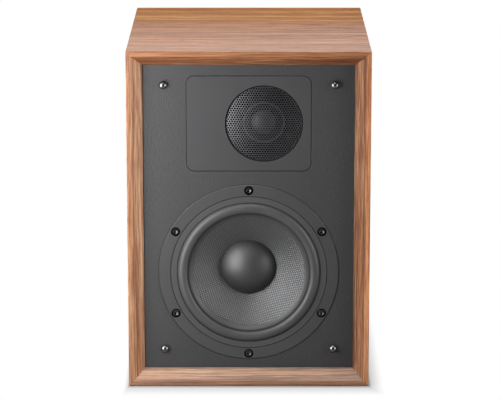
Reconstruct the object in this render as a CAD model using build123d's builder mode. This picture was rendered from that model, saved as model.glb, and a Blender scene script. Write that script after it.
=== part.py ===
from build123d import *

import os
from math import sqrt

# Two-way bookshelf loudspeaker in millimetres: +Z is up, the drivers face -Y and
# the origin is the centre of the base. The box grows from the drivers outwards.

# Cabinet
CABINET_DEPTH = 274.0
PANEL_THICK = 16.0
CORNER_RADIUS = 1.5
LIP_WIDTH = 5.5
LIP_RADIUS = 0.8
BEVEL_FOOT = 1.5
GROOVE_DEPTH = 5.0
BAFFLE_RECESS = 14.5
BAFFLE_THICK = 18.0
BACK_THICK = 16.0
BACK_INSET = 3.5

# Baffle left showing around the drivers
SIDE_MARGIN = 15.0
BELOW_WOOFER = 9.2
BETWEEN_DRIVERS = 14.2
ABOVE_TWEETER = 11.6

# Brace and damping
BRACE_THICK = 15.0
BRACE_RAIL = 22.0
BRACE_CORNER = 12.0
BRACE_GAP = 10.0
PAD_THICK = 12.0
PAD_MARGIN = 18.0
PAD_CORNER = 6.0

# Grille pegs
PEG_INSET = 20.5
PEG_SHANK_RADIUS = 2.5
PEG_SHANK_LENGTH = 12.0
PEG_FIT = 0.1
PEG_COLLAR_RADIUS = 3.6
PEG_COLLAR_THICK = 0.8
PEG_NECK_LENGTH = 0.8
PEG_HEAD_RADIUS = 4.0
PEG_BELT = 1.8
PEG_DOME = 2.6

# Woofer cone, surround and basket, from the cone outwards
CONE_RADIUS = 61.6
CONE_LIP = 4.6
CONE_DEPTH = 27.0
CONE_WALL = 0.9
DUST_CAP_RADIUS = 28.5
DUST_CAP_RISE = 14.0
DUST_CAP_WALL = 0.8
GLUE_GAP = 0.1
ROLL_WIDTH = 10.8
ROLL_GAP = 0.4
SURROUND_THICK = 0.8
SEAT_WIDTH = 7.0
SEAT_DEPTH = 2.6
TRIM_GAP = 0.5
TRIM_SINK = 0.1
RIM_WIDTH = 12.0
RIM_EASE = 0.8
FLANGE_THICK = 6.0
FLANGE_PROUD = 1.0
FLANGE_FIT = 0.5
GASKET_THICK = 1.0
BASKET_WALL = 3.0
BASKET_SHOULDER = 1.2
CUTOUT_GAP = 1.5
SPIDER_DROP = 9.4
SPIDER_LEDGE = 5.0
SPIDER_SPAN = 29.0
SPIDER_ROLLS = 6
SPIDER_ROLL_HEIGHT = 1.5
SPIDER_THICK = 0.7
NECK_LENGTH = 15.0
WINDOW_COUNT = 6
WINDOW_WIDTH = 34.0
WINDOW_EDGE = 4.0

# Woofer screws
WOOFER_SCREW_COUNT = 6
SCREW_RADIUS = 2.0
SCREW_LENGTH = 12.0
SCREW_FIT = 0.3
SCREW_HEAD_RADIUS = 3.7
SCREW_HEAD_HEIGHT = 4.0
SCREW_HEAD_EASE = 0.4
SCREW_SINK = 0.4
HEX_RADIUS = 1.75
HEX_DEPTH = 2.2
COUNTERBORE_FIT = 0.9

# Woofer motor
FORMER_RADIUS = 15.1
FORMER_WALL = 0.4
FORMER_LIP = 1.0
COIL_BUILD = 1.3
COIL_HEIGHT = 16.0
COIL_GAP = 0.6
POLE_GAP = 0.5
POLE_VENT_RADIUS = 5.0
TOP_PLATE_RADIUS = 44.0
TOP_PLATE_THICK = 6.0
MAGNET_OVERHANG = 3.0
MAGNET_INNER_GAP = 7.0
MAGNET_THICK = 16.0
YOKE_THICK = 6.0
COIL_HOLE_GAP = 3.5

# Driver terminal strips
STRIP_WIDTH = 15.0
STRIP_THICK = 1.6
STRIP_RISE = 5.0
BLADE_WIDTH = 4.0
BLADE_THICK = 0.8
BLADE_LENGTH = 8.0
BLADE_SPACING = 10.0
LUG_WIDTH = 24.0
LUG_REACH = 12.0

# Tweeter, from the dome outwards
DOME_RADIUS = 12.7
DOME_RISE = 5.5
DOME_WALL = 0.4
DOME_RIM = 0.6
DOME_ROLL_WIDTH = 3.4
DOME_SURROUND_THICK = 0.4
DOME_LIP = 2.4
TWEETER_COIL_BUILD = 0.6
TWEETER_COIL_HEIGHT = 4.5
TWEETER_GAP = 0.6
THROAT_GAP = 0.7
THROAT_FALL = 2.5
DISH_STEP = 1.7
MESH_RADIUS = 38.9
MESH_GAP = 0.5
MESH_RIM = 1.6
MESH_RISE = 4.6
MESH_THICK = 0.8
MESH_SINK = 1.0
HOLE_RADIUS = 1.35
HOLE_PITCH = 2.15
PLATE_SHORT_SIDE = 8.2
PLATE_LONG_SIDE = 39.0
PLATE_RIM = 9.6
PLATE_CORNER = 8.0
PLATE_THICK = 4.0
PLATE_SINK = 0.1
PLATE_FIT = 0.4
PLATE_EASE = 0.4
BOSS_WALL = 2.6
BOSS_DEPTH = 4.5
BOSS_FIT = 0.5
DOWEL_RADIUS = 2.0
DOWEL_LENGTH = 8.0
DOWEL_INSET = 9.0
DOWEL_FIT = 0.15
TWEETER_PLATE_STEP = 6.0
TWEETER_PLATE_THICK = 4.0
TWEETER_MAGNET_STEP = 2.5
TWEETER_MAGNET_GAP = 3.0
TWEETER_MAGNET_THICK = 9.0
TWEETER_YOKE_THICK = 4.0
TWEETER_VENT_RADIUS = 3.0
CHAMBER_STEP = 7.0
CHAMBER_DEPTH = 14.0
CHAMBER_WALL = 2.0
CHAMBER_EASE = 3.0
TWEETER_SCREW_COUNT = 3
TWEETER_SCREW_INSET = 7.0
TWEETER_SCREW_RADIUS = 1.5
TWEETER_SCREW_FIT = 0.1
TWEETER_SCREW_HEAD_RADIUS = 2.8
TWEETER_SCREW_HEAD_HEIGHT = 1.6
TWEETER_SCREW_SPOT = 5.8
CROSS_WIDTH = 0.8
CROSS_LENGTH = 2.8
CROSS_DEPTH = 0.8

# Reflex ports
PORT_SPACING = 96.0
PORT_DROP = 63.0
PORT_RADIUS = 21.0
PORT_WALL = 2.5
PORT_LENGTH = 110.0
PORT_FLARE = 9.0
PORT_FLANGE = 6.0
PORT_FIT = 0.3

# Terminal cup and binding posts
CUP_Z = 108.0
CUP_WIDTH = 96.0
CUP_HEIGHT = 72.0
CUP_WALL = 2.5
CUP_FLOOR = 3.0
CUP_DEPTH = 22.0
CUP_CORNER = 8.0
CUP_FLANGE = 10.0
CUP_FLANGE_THICK = 3.0
CUP_FLANGE_CORNER = 5.0
CUP_FIT = 0.4
CUP_SCREW_RADIUS = 1.6
CUP_SCREW_LENGTH = 14.0
CUP_SCREW_HEAD_RADIUS = 3.2
CUP_SCREW_FIT = 0.2
POST_SPACING_X = 38.0
POST_SPACING_Z = 30.0
STUD_RADIUS = 3.0
STUD_LENGTH = 17.5
STUD_TAIL = 16.0
STUD_BASE_RADIUS = 6.8
STUD_BASE_THICK = 2.0
STUD_FIT = 0.15
SOCKET_RADIUS = 2.05
SOCKET_DEPTH = 15.0
COLLAR_RADIUS = 8.0
COLLAR_THICK = 3.0
NUT_RADIUS = 5.8
NUT_THICK = 3.0
LINK_WIDTH = 11.0
LINK_THICK = 1.0
LINK_FIT = 0.5
WASHER_RADIUS = 6.4
WASHER_THICK = 1.0
KNOB_RADIUS = 7.0
KNOB_LENGTH = 12.5
KNOB_FOOT = 2.5
KNOB_EASE = 0.6
FLUTE_COUNT = 12
FLUTE_RADIUS = 1.1
THREAD_FIT = 0.15

# Crossover and leads
BOARD_MARGIN = 2.0
BOARD_LENGTH = 96.0
BOARD_THICK = 1.6
STANDOFF_HEIGHT = 6.0
STANDOFF_RADIUS = 3.5
STANDOFF_INSET = 6.0
SNAP_RADIUS = 1.4
SNAP_HEIGHT = 1.6
SNAP_FIT = 0.1
BOBBIN_RADII = (25.0, 19.0)
BOBBIN_CORE_RADIUS = 8.0
BOBBIN_HEIGHT = 26.0
BOBBIN_FLANGE = 2.0
WINDING_INSET = 2.0
WINDING_GAP = 0.2
INDUCTOR_GAP = 4.0
CAPACITOR_RADII = (8.0, 7.0)
CAPACITOR_LENGTH = 40.0
CAPACITOR_GAP = 1.0
CAPACITOR_LIFT = 0.1
RESISTOR_SIZE = (30.0, 9.0, 9.0)
RESISTOR_INSET = 9.0
LEAD_RADIUS = 1.2
LEAD_BEND = 12.0
LEAD_INSET = 6.0
INPUT_LEAD_RUNS = (18.0, 36.0)

# Sizes that follow from those above
ROLL_INNER = CONE_RADIUS + ROLL_GAP
ROLL_OUTER = ROLL_INNER + ROLL_WIDTH
MOUTH_RADIUS = ROLL_OUTER + ROLL_GAP
SEAT_RADIUS = MOUTH_RADIUS + SEAT_WIDTH
FLANGE_RADIUS = SEAT_RADIUS + RIM_WIDTH
SCREW_CIRCLE = SEAT_RADIUS + RIM_WIDTH / 2
BASKET_RADIUS = MOUTH_RADIUS + BASKET_SHOULDER
CUTOUT_RADIUS = BASKET_RADIUS + CUTOUT_GAP
MESH_BORE = MESH_RADIUS + MESH_GAP
PLATE_WIDTH = PLATE_LONG_SIDE + 2 * MESH_BORE + PLATE_SHORT_SIDE
PLATE_HEIGHT = 2 * (MESH_BORE + PLATE_RIM)
DOME_X = (PLATE_LONG_SIDE - PLATE_SHORT_SIDE) / 2
INNER_WIDTH = 2 * (FLANGE_RADIUS + SIDE_MARGIN)
INNER_HEIGHT = BELOW_WOOFER + 2 * FLANGE_RADIUS + BETWEEN_DRIVERS + PLATE_HEIGHT + ABOVE_TWEETER
CABINET_WIDTH = INNER_WIDTH + 2 * PANEL_THICK
CABINET_HEIGHT = INNER_HEIGHT + 2 * PANEL_THICK
PANEL_WIDTH = INNER_WIDTH + 2 * GROOVE_DEPTH
PANEL_HEIGHT = INNER_HEIGHT + 2 * GROOVE_DEPTH
WOOFER_Z = PANEL_THICK + BELOW_WOOFER + FLANGE_RADIUS
TWEETER_Z = WOOFER_Z + FLANGE_RADIUS + BETWEEN_DRIVERS + PLATE_HEIGHT / 2
MID_Z = CABINET_HEIGHT / 2
FRONT_Y = -CABINET_DEPTH / 2
REAR_Y = CABINET_DEPTH / 2
BAFFLE_Y = FRONT_Y + BAFFLE_RECESS
BAFFLE_BACK_Y = BAFFLE_Y + BAFFLE_THICK
BACK_Y = REAR_Y - BACK_INSET
BACK_INNER_Y = BACK_Y - BACK_THICK

# Heights along the woofer's axis, forward from the baffle face
FLANGE_BACK = FLANGE_PROUD - FLANGE_THICK
REBATE_DEPTH = GASKET_THICK - FLANGE_BACK
SEAT_A = FLANGE_PROUD - SEAT_DEPTH
SCREW_SEAT = FLANGE_PROUD - SCREW_SINK - SCREW_HEAD_HEIGHT
CONE_MOUTH = CONE_RADIUS - CONE_LIP
CONE_NECK = FORMER_RADIUS + GLUE_GAP
CONE_SLOPE = CONE_DEPTH / (CONE_RADIUS - CONE_NECK)
LEDGE_A = SEAT_A - CONE_DEPTH - SPIDER_DROP
SPIDER_INNER = FORMER_RADIUS + GLUE_GAP
SPIDER_OUTER = SPIDER_INNER + SPIDER_SPAN
LEDGE_RADIUS = SPIDER_OUTER + SPIDER_LEDGE + ROLL_GAP
BASKET_REAR = LEDGE_A - NECK_LENGTH
COIL_RADIUS = FORMER_RADIUS + COIL_BUILD
COIL_MIDDLE = BASKET_REAR - TOP_PLATE_THICK / 2
TOP_PLATE_REAR = BASKET_REAR - TOP_PLATE_THICK
MAGNET_REAR = TOP_PLATE_REAR - MAGNET_THICK
WOOFER_REAR = MAGNET_REAR - YOKE_THICK
BRACE_Y = BAFFLE_Y - WOOFER_REAR + BRACE_GAP
BRACE_REAR_Y = BRACE_Y + BRACE_THICK

# Heights along the tweeter's axis, forward from the baffle face
MESH_SEAT = -PLATE_SINK - MESH_SINK - MESH_THICK
DISH_EDGE = MESH_SEAT - DISH_STEP
BOSS_BACK = -PLATE_SINK - PLATE_THICK - BOSS_DEPTH
DOME_LIP_RADIUS = DOME_RADIUS + DOME_RIM + DOME_ROLL_WIDTH + DOME_LIP
THROAT_RADIUS = DOME_LIP_RADIUS + THROAT_GAP
BOSS_RADIUS = MESH_BORE + BOSS_WALL
TWEETER_PLATE_RADIUS = BOSS_RADIUS - TWEETER_PLATE_STEP
TWEETER_MAGNET_RADIUS = TWEETER_PLATE_RADIUS - TWEETER_MAGNET_STEP
TWEETER_SCREW_CIRCLE = TWEETER_PLATE_RADIUS - TWEETER_SCREW_INSET
TWEETER_COIL_RADIUS = DOME_RADIUS + TWEETER_COIL_BUILD
TWEETER_PLATE_BACK = BOSS_BACK - TWEETER_PLATE_THICK
TWEETER_MAGNET_BACK = TWEETER_PLATE_BACK - TWEETER_MAGNET_THICK
TWEETER_REAR = TWEETER_MAGNET_BACK - TWEETER_YOKE_THICK
CHAMBER_RADIUS = TWEETER_MAGNET_RADIUS - CHAMBER_STEP

# Places at the back and on the crossover
PORT_Z = CABINET_HEIGHT - PORT_DROP
CUP_FACE_Y = BACK_Y + CUP_FLANGE_THICK
FLOOR_Y = CUP_FACE_Y - CUP_DEPTH
LINK_Y = FLOOR_Y + COLLAR_THICK + STUD_BASE_THICK
WASHER_Y = LINK_Y + LINK_THICK
KNOB_Y = WASHER_Y + WASHER_THICK
TAIL_Y = FLOOR_Y - STUD_TAIL
BOARD_Y = (BRACE_REAR_Y + BACK_INNER_Y) / 2
CAPACITOR_REACH = 2 * max(CAPACITOR_RADII) + CAPACITOR_GAP / 2
BOARD_WIDTH = 2 * (CAPACITOR_REACH + INDUCTOR_GAP + 2 * max(BOBBIN_RADII) + BOARD_MARGIN)
BOARD_Z = PANEL_THICK + STANDOFF_HEIGHT
BOARD_TOP = BOARD_Z + BOARD_THICK
LEAD_Y = BOARD_Y - BOARD_LENGTH / 2 + LEAD_INSET

BACKWARD = (0, 1, 0)


def facing_front(x, y, z):
    """Sketch plane seen from the front: local x is +X, local y is +Z, extrusion goes to -Y."""
    return Plane(origin=(x, y, z), x_dir=(1, 0, 0), z_dir=(0, -1, 0))


def facing_rear(x, y, z):
    """Sketch plane seen from behind: local x is -X, local y is +Z, extrusion goes to +Y."""
    return Plane(origin=(x, y, z), x_dir=(-1, 0, 0), z_dir=(0, 1, 0))


def turning_front(x, y, z):
    """Plane of a turned profile: local x is the radius, local y runs to the front."""
    return Plane(origin=(x, y, z), x_dir=(1, 0, 0), z_dir=(0, 0, -1))


def turning_rear(x, y, z):
    """Plane of a turned profile: local x is the radius, local y runs to the back."""
    return Plane(origin=(x, y, z), x_dir=(1, 0, 0), z_dir=(0, 0, 1))


def axis_of(plane):
    """Turning axis of a profile plane."""
    return Axis(plane.origin, BACKWARD)


def outline(plane, *points):
    """Closed outline of straight runs, as a face."""
    with BuildSketch(plane) as section:
        with BuildLine():
            Polyline(*points, close=True)
        make_face()
    return section.sketch


def ring_outline(plane, inner, outer, low, high):
    """Section of a plain turned ring."""
    return outline(plane, (inner, low), (outer, low), (outer, high), (inner, high))


def dome_height(radius, base, rise):
    """Height of a spherical dome over its base circle at a radius."""
    sphere = (base**2 + rise**2) / (2 * rise)
    return sqrt(sphere**2 - radius**2) - (sphere - rise)


def cone_front(radius):
    """Front face of the woofer cone at a radius."""
    return SEAT_A - CONE_SLOPE * (CONE_RADIUS - radius)


def half_roll(plane, inner, width, inner_lip, lip_outer, base, thick):
    """Section of a rubber half-roll over a base height: a flat outer lip, and an inner lip from its
    upper corner round to where it meets the base."""
    middle = inner + width / 2
    centre = base + thick / 2
    inside = width / 2 - thick / 2
    outside = width / 2 + thick / 2
    foot = sqrt(inside**2 - (thick / 2) ** 2)
    heel = sqrt(outside**2 - (thick / 2) ** 2)
    top = base + thick
    with BuildSketch(plane) as section:
        with BuildLine():
            Polyline((middle + foot, base), (lip_outer, base), (lip_outer, top), (middle + heel, top))
            ThreePointArc((middle + heel, top), (middle, centre + outside), (middle - heel, top))
            Polyline((middle - heel, top), *inner_lip, (middle - foot, base))
            ThreePointArc((middle - foot, base), (middle, centre + inside), (middle + foot, base))
        make_face()
    return section.sketch


def dome_shell(plane, base, rise, low, inner_base, inner_rise, inner_low):
    """Section of a domed shell between two spheres, with its rim from one base circle to the other."""
    with BuildSketch(plane) as section:
        with BuildLine():
            halfway = (base / 2, low + dome_height(base / 2, base, rise))
            ThreePointArc((base, low), halfway, (0, low + rise))
            Line((0, low + rise), (0, inner_low + inner_rise))
            halfway = (inner_base / 2, inner_low + dome_height(inner_base / 2, inner_base, inner_rise))
            ThreePointArc((0, inner_low + inner_rise), halfway, (inner_base, inner_low))
            Line((inner_base, inner_low), (base, low))
        make_face()
    return section.sketch


def lead(start, corner, end):
    """Insulated lead along two square runs with one wide bend."""
    with BuildPart() as wire:
        with BuildLine():
            route = FilletPolyline(start, corner, end, radius=LEAD_BEND)
        with BuildSketch(Plane(origin=route @ 0, z_dir=route % 0)):
            Circle(LEAD_RADIUS)
        sweep(path=route)
    return wire.part


def wrap_panel(mitre_corners):
    """One board of the wrap: the whole sleeve cut to the wedge between its two mitres."""
    with BuildPart() as board:
        with BuildSketch(facing_front(0, REAR_Y, MID_Z)):
            RectangleRounded(CABINET_WIDTH, CABINET_HEIGHT, CORNER_RADIUS)
            Rectangle(INNER_WIDTH, INNER_HEIGHT, mode=Mode.SUBTRACT)
        extrude(amount=CABINET_DEPTH)
        with BuildSketch(facing_front(0, FRONT_Y, MID_Z)):
            Rectangle(CABINET_WIDTH - 2 * LIP_WIDTH, CABINET_HEIGHT - 2 * LIP_WIDTH)
        with BuildSketch(facing_front(0, BAFFLE_Y - BEVEL_FOOT, MID_Z)):
            Rectangle(INNER_WIDTH, INNER_HEIGHT)
        loft(mode=Mode.SUBTRACT)
        lip = board.faces().sort_by(Axis.Y)[0]
        fillet(lip.edges(), min(LIP_RADIUS, LIP_WIDTH / 3))
        with BuildSketch(facing_front(0, BAFFLE_BACK_Y, MID_Z)):
            Rectangle(PANEL_WIDTH, PANEL_HEIGHT)
        extrude(amount=BAFFLE_THICK, mode=Mode.SUBTRACT)
        with BuildSketch(facing_front(0, REAR_Y, MID_Z)):
            Rectangle(PANEL_WIDTH, PANEL_HEIGHT)
        extrude(amount=BACK_THICK + BACK_INSET, mode=Mode.SUBTRACT)
        with BuildSketch(facing_front(0, REAR_Y, MID_Z)):
            with BuildLine():
                Polyline(*mitre_corners, close=True)
            make_face()
        extrude(amount=CABINET_DEPTH, mode=Mode.INTERSECT)
    return board.part


os.makedirs("parts", exist_ok=True)

# Wrap of four mitred boards
half_w = CABINET_WIDTH / 2
half_h = CABINET_HEIGHT / 2
reach = 2 * PANEL_THICK
outer_corners = [(-half_w, -half_h), (half_w, -half_h), (half_w, half_h), (-half_w, half_h)]
inner_corners = [
    (-half_w + reach, -half_h + reach),
    (half_w - reach, -half_h + reach),
    (half_w - reach, half_h - reach),
    (-half_w + reach, half_h - reach),
]
for n, name in enumerate(("bottom_panel", "right_panel", "top_panel", "left_panel")):
    after = (n + 1) % 4
    panel = wrap_panel((outer_corners[n], outer_corners[after], inner_corners[after], inner_corners[n]))
    panel.label = name
    export_step(panel, f"parts/{name}.step")

# Front baffle
peg_span_x = INNER_WIDTH - 2 * PEG_INSET
peg_span_z = INNER_HEIGHT - 2 * PEG_INSET
dowel_span_x = PLATE_WIDTH - 2 * DOWEL_INSET
dowel_span_z = PLATE_HEIGHT - 2 * DOWEL_INSET
with BuildPart() as front_baffle:
    with BuildSketch(facing_front(0, BAFFLE_BACK_Y, MID_Z)):
        Rectangle(PANEL_WIDTH, PANEL_HEIGHT)
    extrude(amount=BAFFLE_THICK)
    with BuildSketch(facing_front(0, BAFFLE_Y, WOOFER_Z)):
        Circle(FLANGE_RADIUS + FLANGE_FIT)
    extrude(amount=-REBATE_DEPTH, mode=Mode.SUBTRACT)
    with BuildSketch(facing_front(0, BAFFLE_Y, WOOFER_Z)):
        Circle(CUTOUT_RADIUS)
    extrude(amount=-BAFFLE_THICK, mode=Mode.SUBTRACT)
    with BuildSketch(facing_front(0, BAFFLE_Y, WOOFER_Z)):
        with PolarLocations(SCREW_CIRCLE, WOOFER_SCREW_COUNT, start_angle=90):
            Circle(SCREW_RADIUS + SCREW_FIT)
    extrude(amount=SCREW_SEAT - SCREW_LENGTH, mode=Mode.SUBTRACT)
    with BuildSketch(facing_front(0, BAFFLE_Y, TWEETER_Z)):
        RectangleRounded(PLATE_WIDTH + 2 * PLATE_FIT, PLATE_HEIGHT + 2 * PLATE_FIT, PLATE_CORNER + PLATE_FIT)
    extrude(amount=-PLATE_SINK - PLATE_THICK, mode=Mode.SUBTRACT)
    with BuildSketch(facing_front(DOME_X, BAFFLE_Y, TWEETER_Z)):
        Circle(BOSS_RADIUS + BOSS_FIT)
    extrude(amount=-BAFFLE_THICK, mode=Mode.SUBTRACT)
    with BuildSketch(facing_front(0, BAFFLE_Y, TWEETER_Z)):
        with GridLocations(dowel_span_x, dowel_span_z, 2, 2):
            Circle(DOWEL_RADIUS + DOWEL_FIT)
    extrude(amount=-PLATE_SINK - PLATE_THICK - DOWEL_LENGTH, mode=Mode.SUBTRACT)
    with BuildSketch(facing_front(0, BAFFLE_Y, MID_Z)):
        with GridLocations(peg_span_x, peg_span_z, 2, 2):
            Circle(PEG_SHANK_RADIUS + PEG_FIT)
    extrude(amount=-PEG_SHANK_LENGTH, mode=Mode.SUBTRACT)
front_baffle.part.label = "front_baffle"
export_step(front_baffle.part, "parts/front_baffle.step")

# Grille pegs: turned pins with a ball head and a short belt for the grille's sockets
peg_neck = PEG_COLLAR_THICK + PEG_NECK_LENGTH
peg_belt = peg_neck + PEG_BELT
with BuildPart() as grille_pegs:
    for x in (-peg_span_x / 2, peg_span_x / 2):
        for z in (MID_Z - peg_span_z / 2, MID_Z + peg_span_z / 2):
            peg_plane = turning_front(x, BAFFLE_Y, z)
            with BuildSketch(peg_plane):
                with BuildLine():
                    Polyline(
                        (0, peg_belt + PEG_DOME),
                        (0, -PEG_SHANK_LENGTH),
                        (PEG_SHANK_RADIUS, -PEG_SHANK_LENGTH),
                        (PEG_SHANK_RADIUS, 0),
                        (PEG_COLLAR_RADIUS, 0),
                        (PEG_COLLAR_RADIUS, PEG_COLLAR_THICK),
                        (PEG_SHANK_RADIUS, PEG_COLLAR_THICK),
                        (PEG_SHANK_RADIUS, peg_neck),
                        (PEG_HEAD_RADIUS, peg_neck),
                        (PEG_HEAD_RADIUS, peg_belt),
                    )
                    middle = PEG_HEAD_RADIUS / 2
                    ThreePointArc(
                        (PEG_HEAD_RADIUS, peg_belt),
                        (middle, peg_belt + dome_height(middle, PEG_HEAD_RADIUS, PEG_DOME)),
                        (0, peg_belt + PEG_DOME),
                    )
                make_face()
            revolve(axis=axis_of(peg_plane))
grille_pegs.part.label = "grille_pegs"
export_step(grille_pegs.part, "parts/grille_pegs.step")

# Window brace behind the woofer's magnet
brace_window = (INNER_HEIGHT - 3 * BRACE_RAIL) / 2
with BuildPart() as window_brace:
    with BuildSketch(facing_rear(0, BRACE_Y, MID_Z)):
        Rectangle(INNER_WIDTH, INNER_HEIGHT)
        with GridLocations(0, brace_window + BRACE_RAIL, 1, 2):
            RectangleRounded(INNER_WIDTH - 2 * BRACE_RAIL, brace_window, BRACE_CORNER, mode=Mode.SUBTRACT)
    extrude(amount=BRACE_THICK)
window_brace.part.label = "window_brace"
export_step(window_brace.part, "parts/window_brace.step")

# Damping pads on the walls between the brace and the back
pad_length = BACK_INNER_Y - BRACE_REAR_Y - 2 * PAD_MARGIN
pad_y = (BACK_INNER_Y + BRACE_REAR_Y) / 2
with BuildPart() as damping_pads:
    for side in (-1, 1):
        wall = Plane(origin=(side * INNER_WIDTH / 2, pad_y, MID_Z), x_dir=(0, 1, 0), z_dir=(-side, 0, 0))
        with BuildSketch(wall):
            RectangleRounded(pad_length, INNER_HEIGHT - 4 * PAD_MARGIN, PAD_CORNER)
        extrude(amount=PAD_THICK)
    ceiling = Plane(origin=(0, pad_y, CABINET_HEIGHT - PANEL_THICK), x_dir=(1, 0, 0), z_dir=(0, 0, -1))
    with BuildSketch(ceiling):
        RectangleRounded(INNER_WIDTH - 4 * PAD_MARGIN, pad_length, PAD_CORNER)
    extrude(amount=PAD_THICK)
damping_pads.part.label = "damping_pads"
export_step(damping_pads.part, "parts/damping_pads.step")

# Woofer basket: cast flange, open conical wall, spider ledge and rear plate
woofer_plane = turning_front(0, BAFFLE_Y, WOOFER_Z)
woofer_axis = axis_of(woofer_plane)
coil_hole = COIL_RADIUS + COIL_HOLE_GAP
neck_radius = LEDGE_RADIUS - SPIDER_LEDGE
lug_low = LEDGE_RADIUS + LUG_REACH
with BuildPart() as woofer_basket:
    section = outline(
        woofer_plane,
        (SEAT_RADIUS, FLANGE_PROUD),
        (FLANGE_RADIUS - RIM_EASE, FLANGE_PROUD),
        (FLANGE_RADIUS, FLANGE_PROUD - RIM_EASE),
        (FLANGE_RADIUS, FLANGE_BACK),
        (BASKET_RADIUS, FLANGE_BACK),
        (LEDGE_RADIUS + BASKET_WALL, LEDGE_A),
        (LEDGE_RADIUS + BASKET_WALL, LEDGE_A - BASKET_WALL),
        (neck_radius + BASKET_WALL, BASKET_REAR),
        (coil_hole, BASKET_REAR),
        (coil_hole, BASKET_REAR + BASKET_WALL),
        (neck_radius, BASKET_REAR + BASKET_WALL),
        (neck_radius, LEDGE_A),
        (LEDGE_RADIUS, LEDGE_A),
        (BASKET_RADIUS - BASKET_WALL, FLANGE_BACK),
        (MOUTH_RADIUS, SEAT_A),
        (SEAT_RADIUS, SEAT_A),
    )
    revolve(section, axis=woofer_axis)
    with BuildSketch(facing_front(0, BAFFLE_Y - LEDGE_A - WINDOW_EDGE, WOOFER_Z)):
        with PolarLocations((BASKET_RADIUS + LEDGE_RADIUS) / 2, WINDOW_COUNT):
            Rectangle(BASKET_RADIUS - LEDGE_RADIUS + 2 * WINDOW_EDGE + 2 * BASKET_WALL, WINDOW_WIDTH)
    extrude(amount=FLANGE_BACK - LEDGE_A - 2 * WINDOW_EDGE, mode=Mode.SUBTRACT)
    with BuildSketch(facing_front(0, BAFFLE_Y - LEDGE_A + BASKET_WALL, WOOFER_Z)):
        with Locations((0, -(lug_low + LEDGE_RADIUS) / 2)):
            Rectangle(LUG_WIDTH, lug_low - LEDGE_RADIUS)
    extrude(amount=BASKET_WALL)
    with Locations(facing_front(0, BAFFLE_Y - FLANGE_PROUD, WOOFER_Z)):
        with PolarLocations(SCREW_CIRCLE, WOOFER_SCREW_COUNT, start_angle=90):
            CounterBoreHole(
                SCREW_RADIUS + SCREW_FIT,
                SCREW_HEAD_RADIUS + COUNTERBORE_FIT,
                FLANGE_PROUD - SCREW_SEAT,
                depth=FLANGE_THICK,
            )
woofer_basket.part.label = "woofer_basket"
export_step(woofer_basket.part, "parts/woofer_basket.step")

with BuildPart() as woofer_gasket:
    with BuildSketch(facing_front(0, BAFFLE_Y + REBATE_DEPTH, WOOFER_Z)):
        Circle(FLANGE_RADIUS)
        Circle(CUTOUT_RADIUS, mode=Mode.SUBTRACT)
        with PolarLocations(SCREW_CIRCLE, WOOFER_SCREW_COUNT, start_angle=90):
            Circle(SCREW_RADIUS + SCREW_FIT, mode=Mode.SUBTRACT)
    extrude(amount=GASKET_THICK)
woofer_gasket.part.label = "woofer_gasket"
export_step(woofer_gasket.part, "parts/woofer_gasket.step")

with BuildPart() as woofer_screws:
    with BuildSketch(facing_front(0, BAFFLE_Y - SCREW_SEAT, WOOFER_Z)):
        with PolarLocations(SCREW_CIRCLE, WOOFER_SCREW_COUNT, start_angle=90):
            Circle(SCREW_HEAD_RADIUS)
    extrude(amount=SCREW_HEAD_HEIGHT)
    head_faces = woofer_screws.faces().sort_by(Axis.Y)[:WOOFER_SCREW_COUNT]
    chamfer(head_faces.edges(), SCREW_HEAD_EASE)
    with BuildSketch(facing_front(0, BAFFLE_Y - SCREW_SEAT - SCREW_HEAD_HEIGHT, WOOFER_Z)):
        with PolarLocations(SCREW_CIRCLE, WOOFER_SCREW_COUNT, start_angle=90):
            RegularPolygon(HEX_RADIUS, 6)
    extrude(amount=-HEX_DEPTH, mode=Mode.SUBTRACT)
    with BuildSketch(facing_front(0, BAFFLE_Y - SCREW_SEAT, WOOFER_Z)):
        with PolarLocations(SCREW_CIRCLE, WOOFER_SCREW_COUNT, start_angle=90):
            Circle(SCREW_RADIUS)
    extrude(amount=-SCREW_LENGTH)
woofer_screws.part.label = "woofer_screws"
export_step(woofer_screws.part, "parts/woofer_screws.step")

# Surround, its inner lip glued along the cone, with the trim ring that clamps its outer lip
surround_top = SEAT_A + SURROUND_THICK
with BuildPart() as woofer_surround:
    lip_low = cone_front(CONE_MOUTH)
    cone_lip = ((CONE_MOUTH, lip_low + SURROUND_THICK), (CONE_MOUTH, lip_low), (CONE_RADIUS, SEAT_A))
    section = half_roll(
        woofer_plane, ROLL_INNER, ROLL_WIDTH, cone_lip, SEAT_RADIUS - TRIM_GAP, SEAT_A, SURROUND_THICK
    )
    revolve(section, axis=woofer_axis)
woofer_surround.part.label = "woofer_surround"
export_step(woofer_surround.part, "parts/woofer_surround.step")

with BuildPart() as woofer_trim_ring:
    trim_inner = ROLL_OUTER + 2 * ROLL_GAP
    trim_outer = SEAT_RADIUS - TRIM_GAP
    revolve(
        ring_outline(woofer_plane, trim_inner, trim_outer, surround_top, FLANGE_PROUD - TRIM_SINK),
        axis=woofer_axis,
    )
woofer_trim_ring.part.label = "woofer_trim_ring"
export_step(woofer_trim_ring.part, "parts/woofer_trim_ring.step")

# Cone, running on under the surround's lip, and the dust cap on it
with BuildPart() as woofer_cone:
    wall = CONE_WALL * sqrt(1 + CONE_SLOPE**2)
    section = outline(
        woofer_plane,
        (CONE_NECK, cone_front(CONE_NECK)),
        (CONE_RADIUS, SEAT_A),
        (CONE_RADIUS, SEAT_A - wall),
        (CONE_NECK, cone_front(CONE_NECK) - wall),
    )
    revolve(section, axis=woofer_axis)
woofer_cone.part.label = "woofer_cone"
export_step(woofer_cone.part, "parts/woofer_cone.step")

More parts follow.
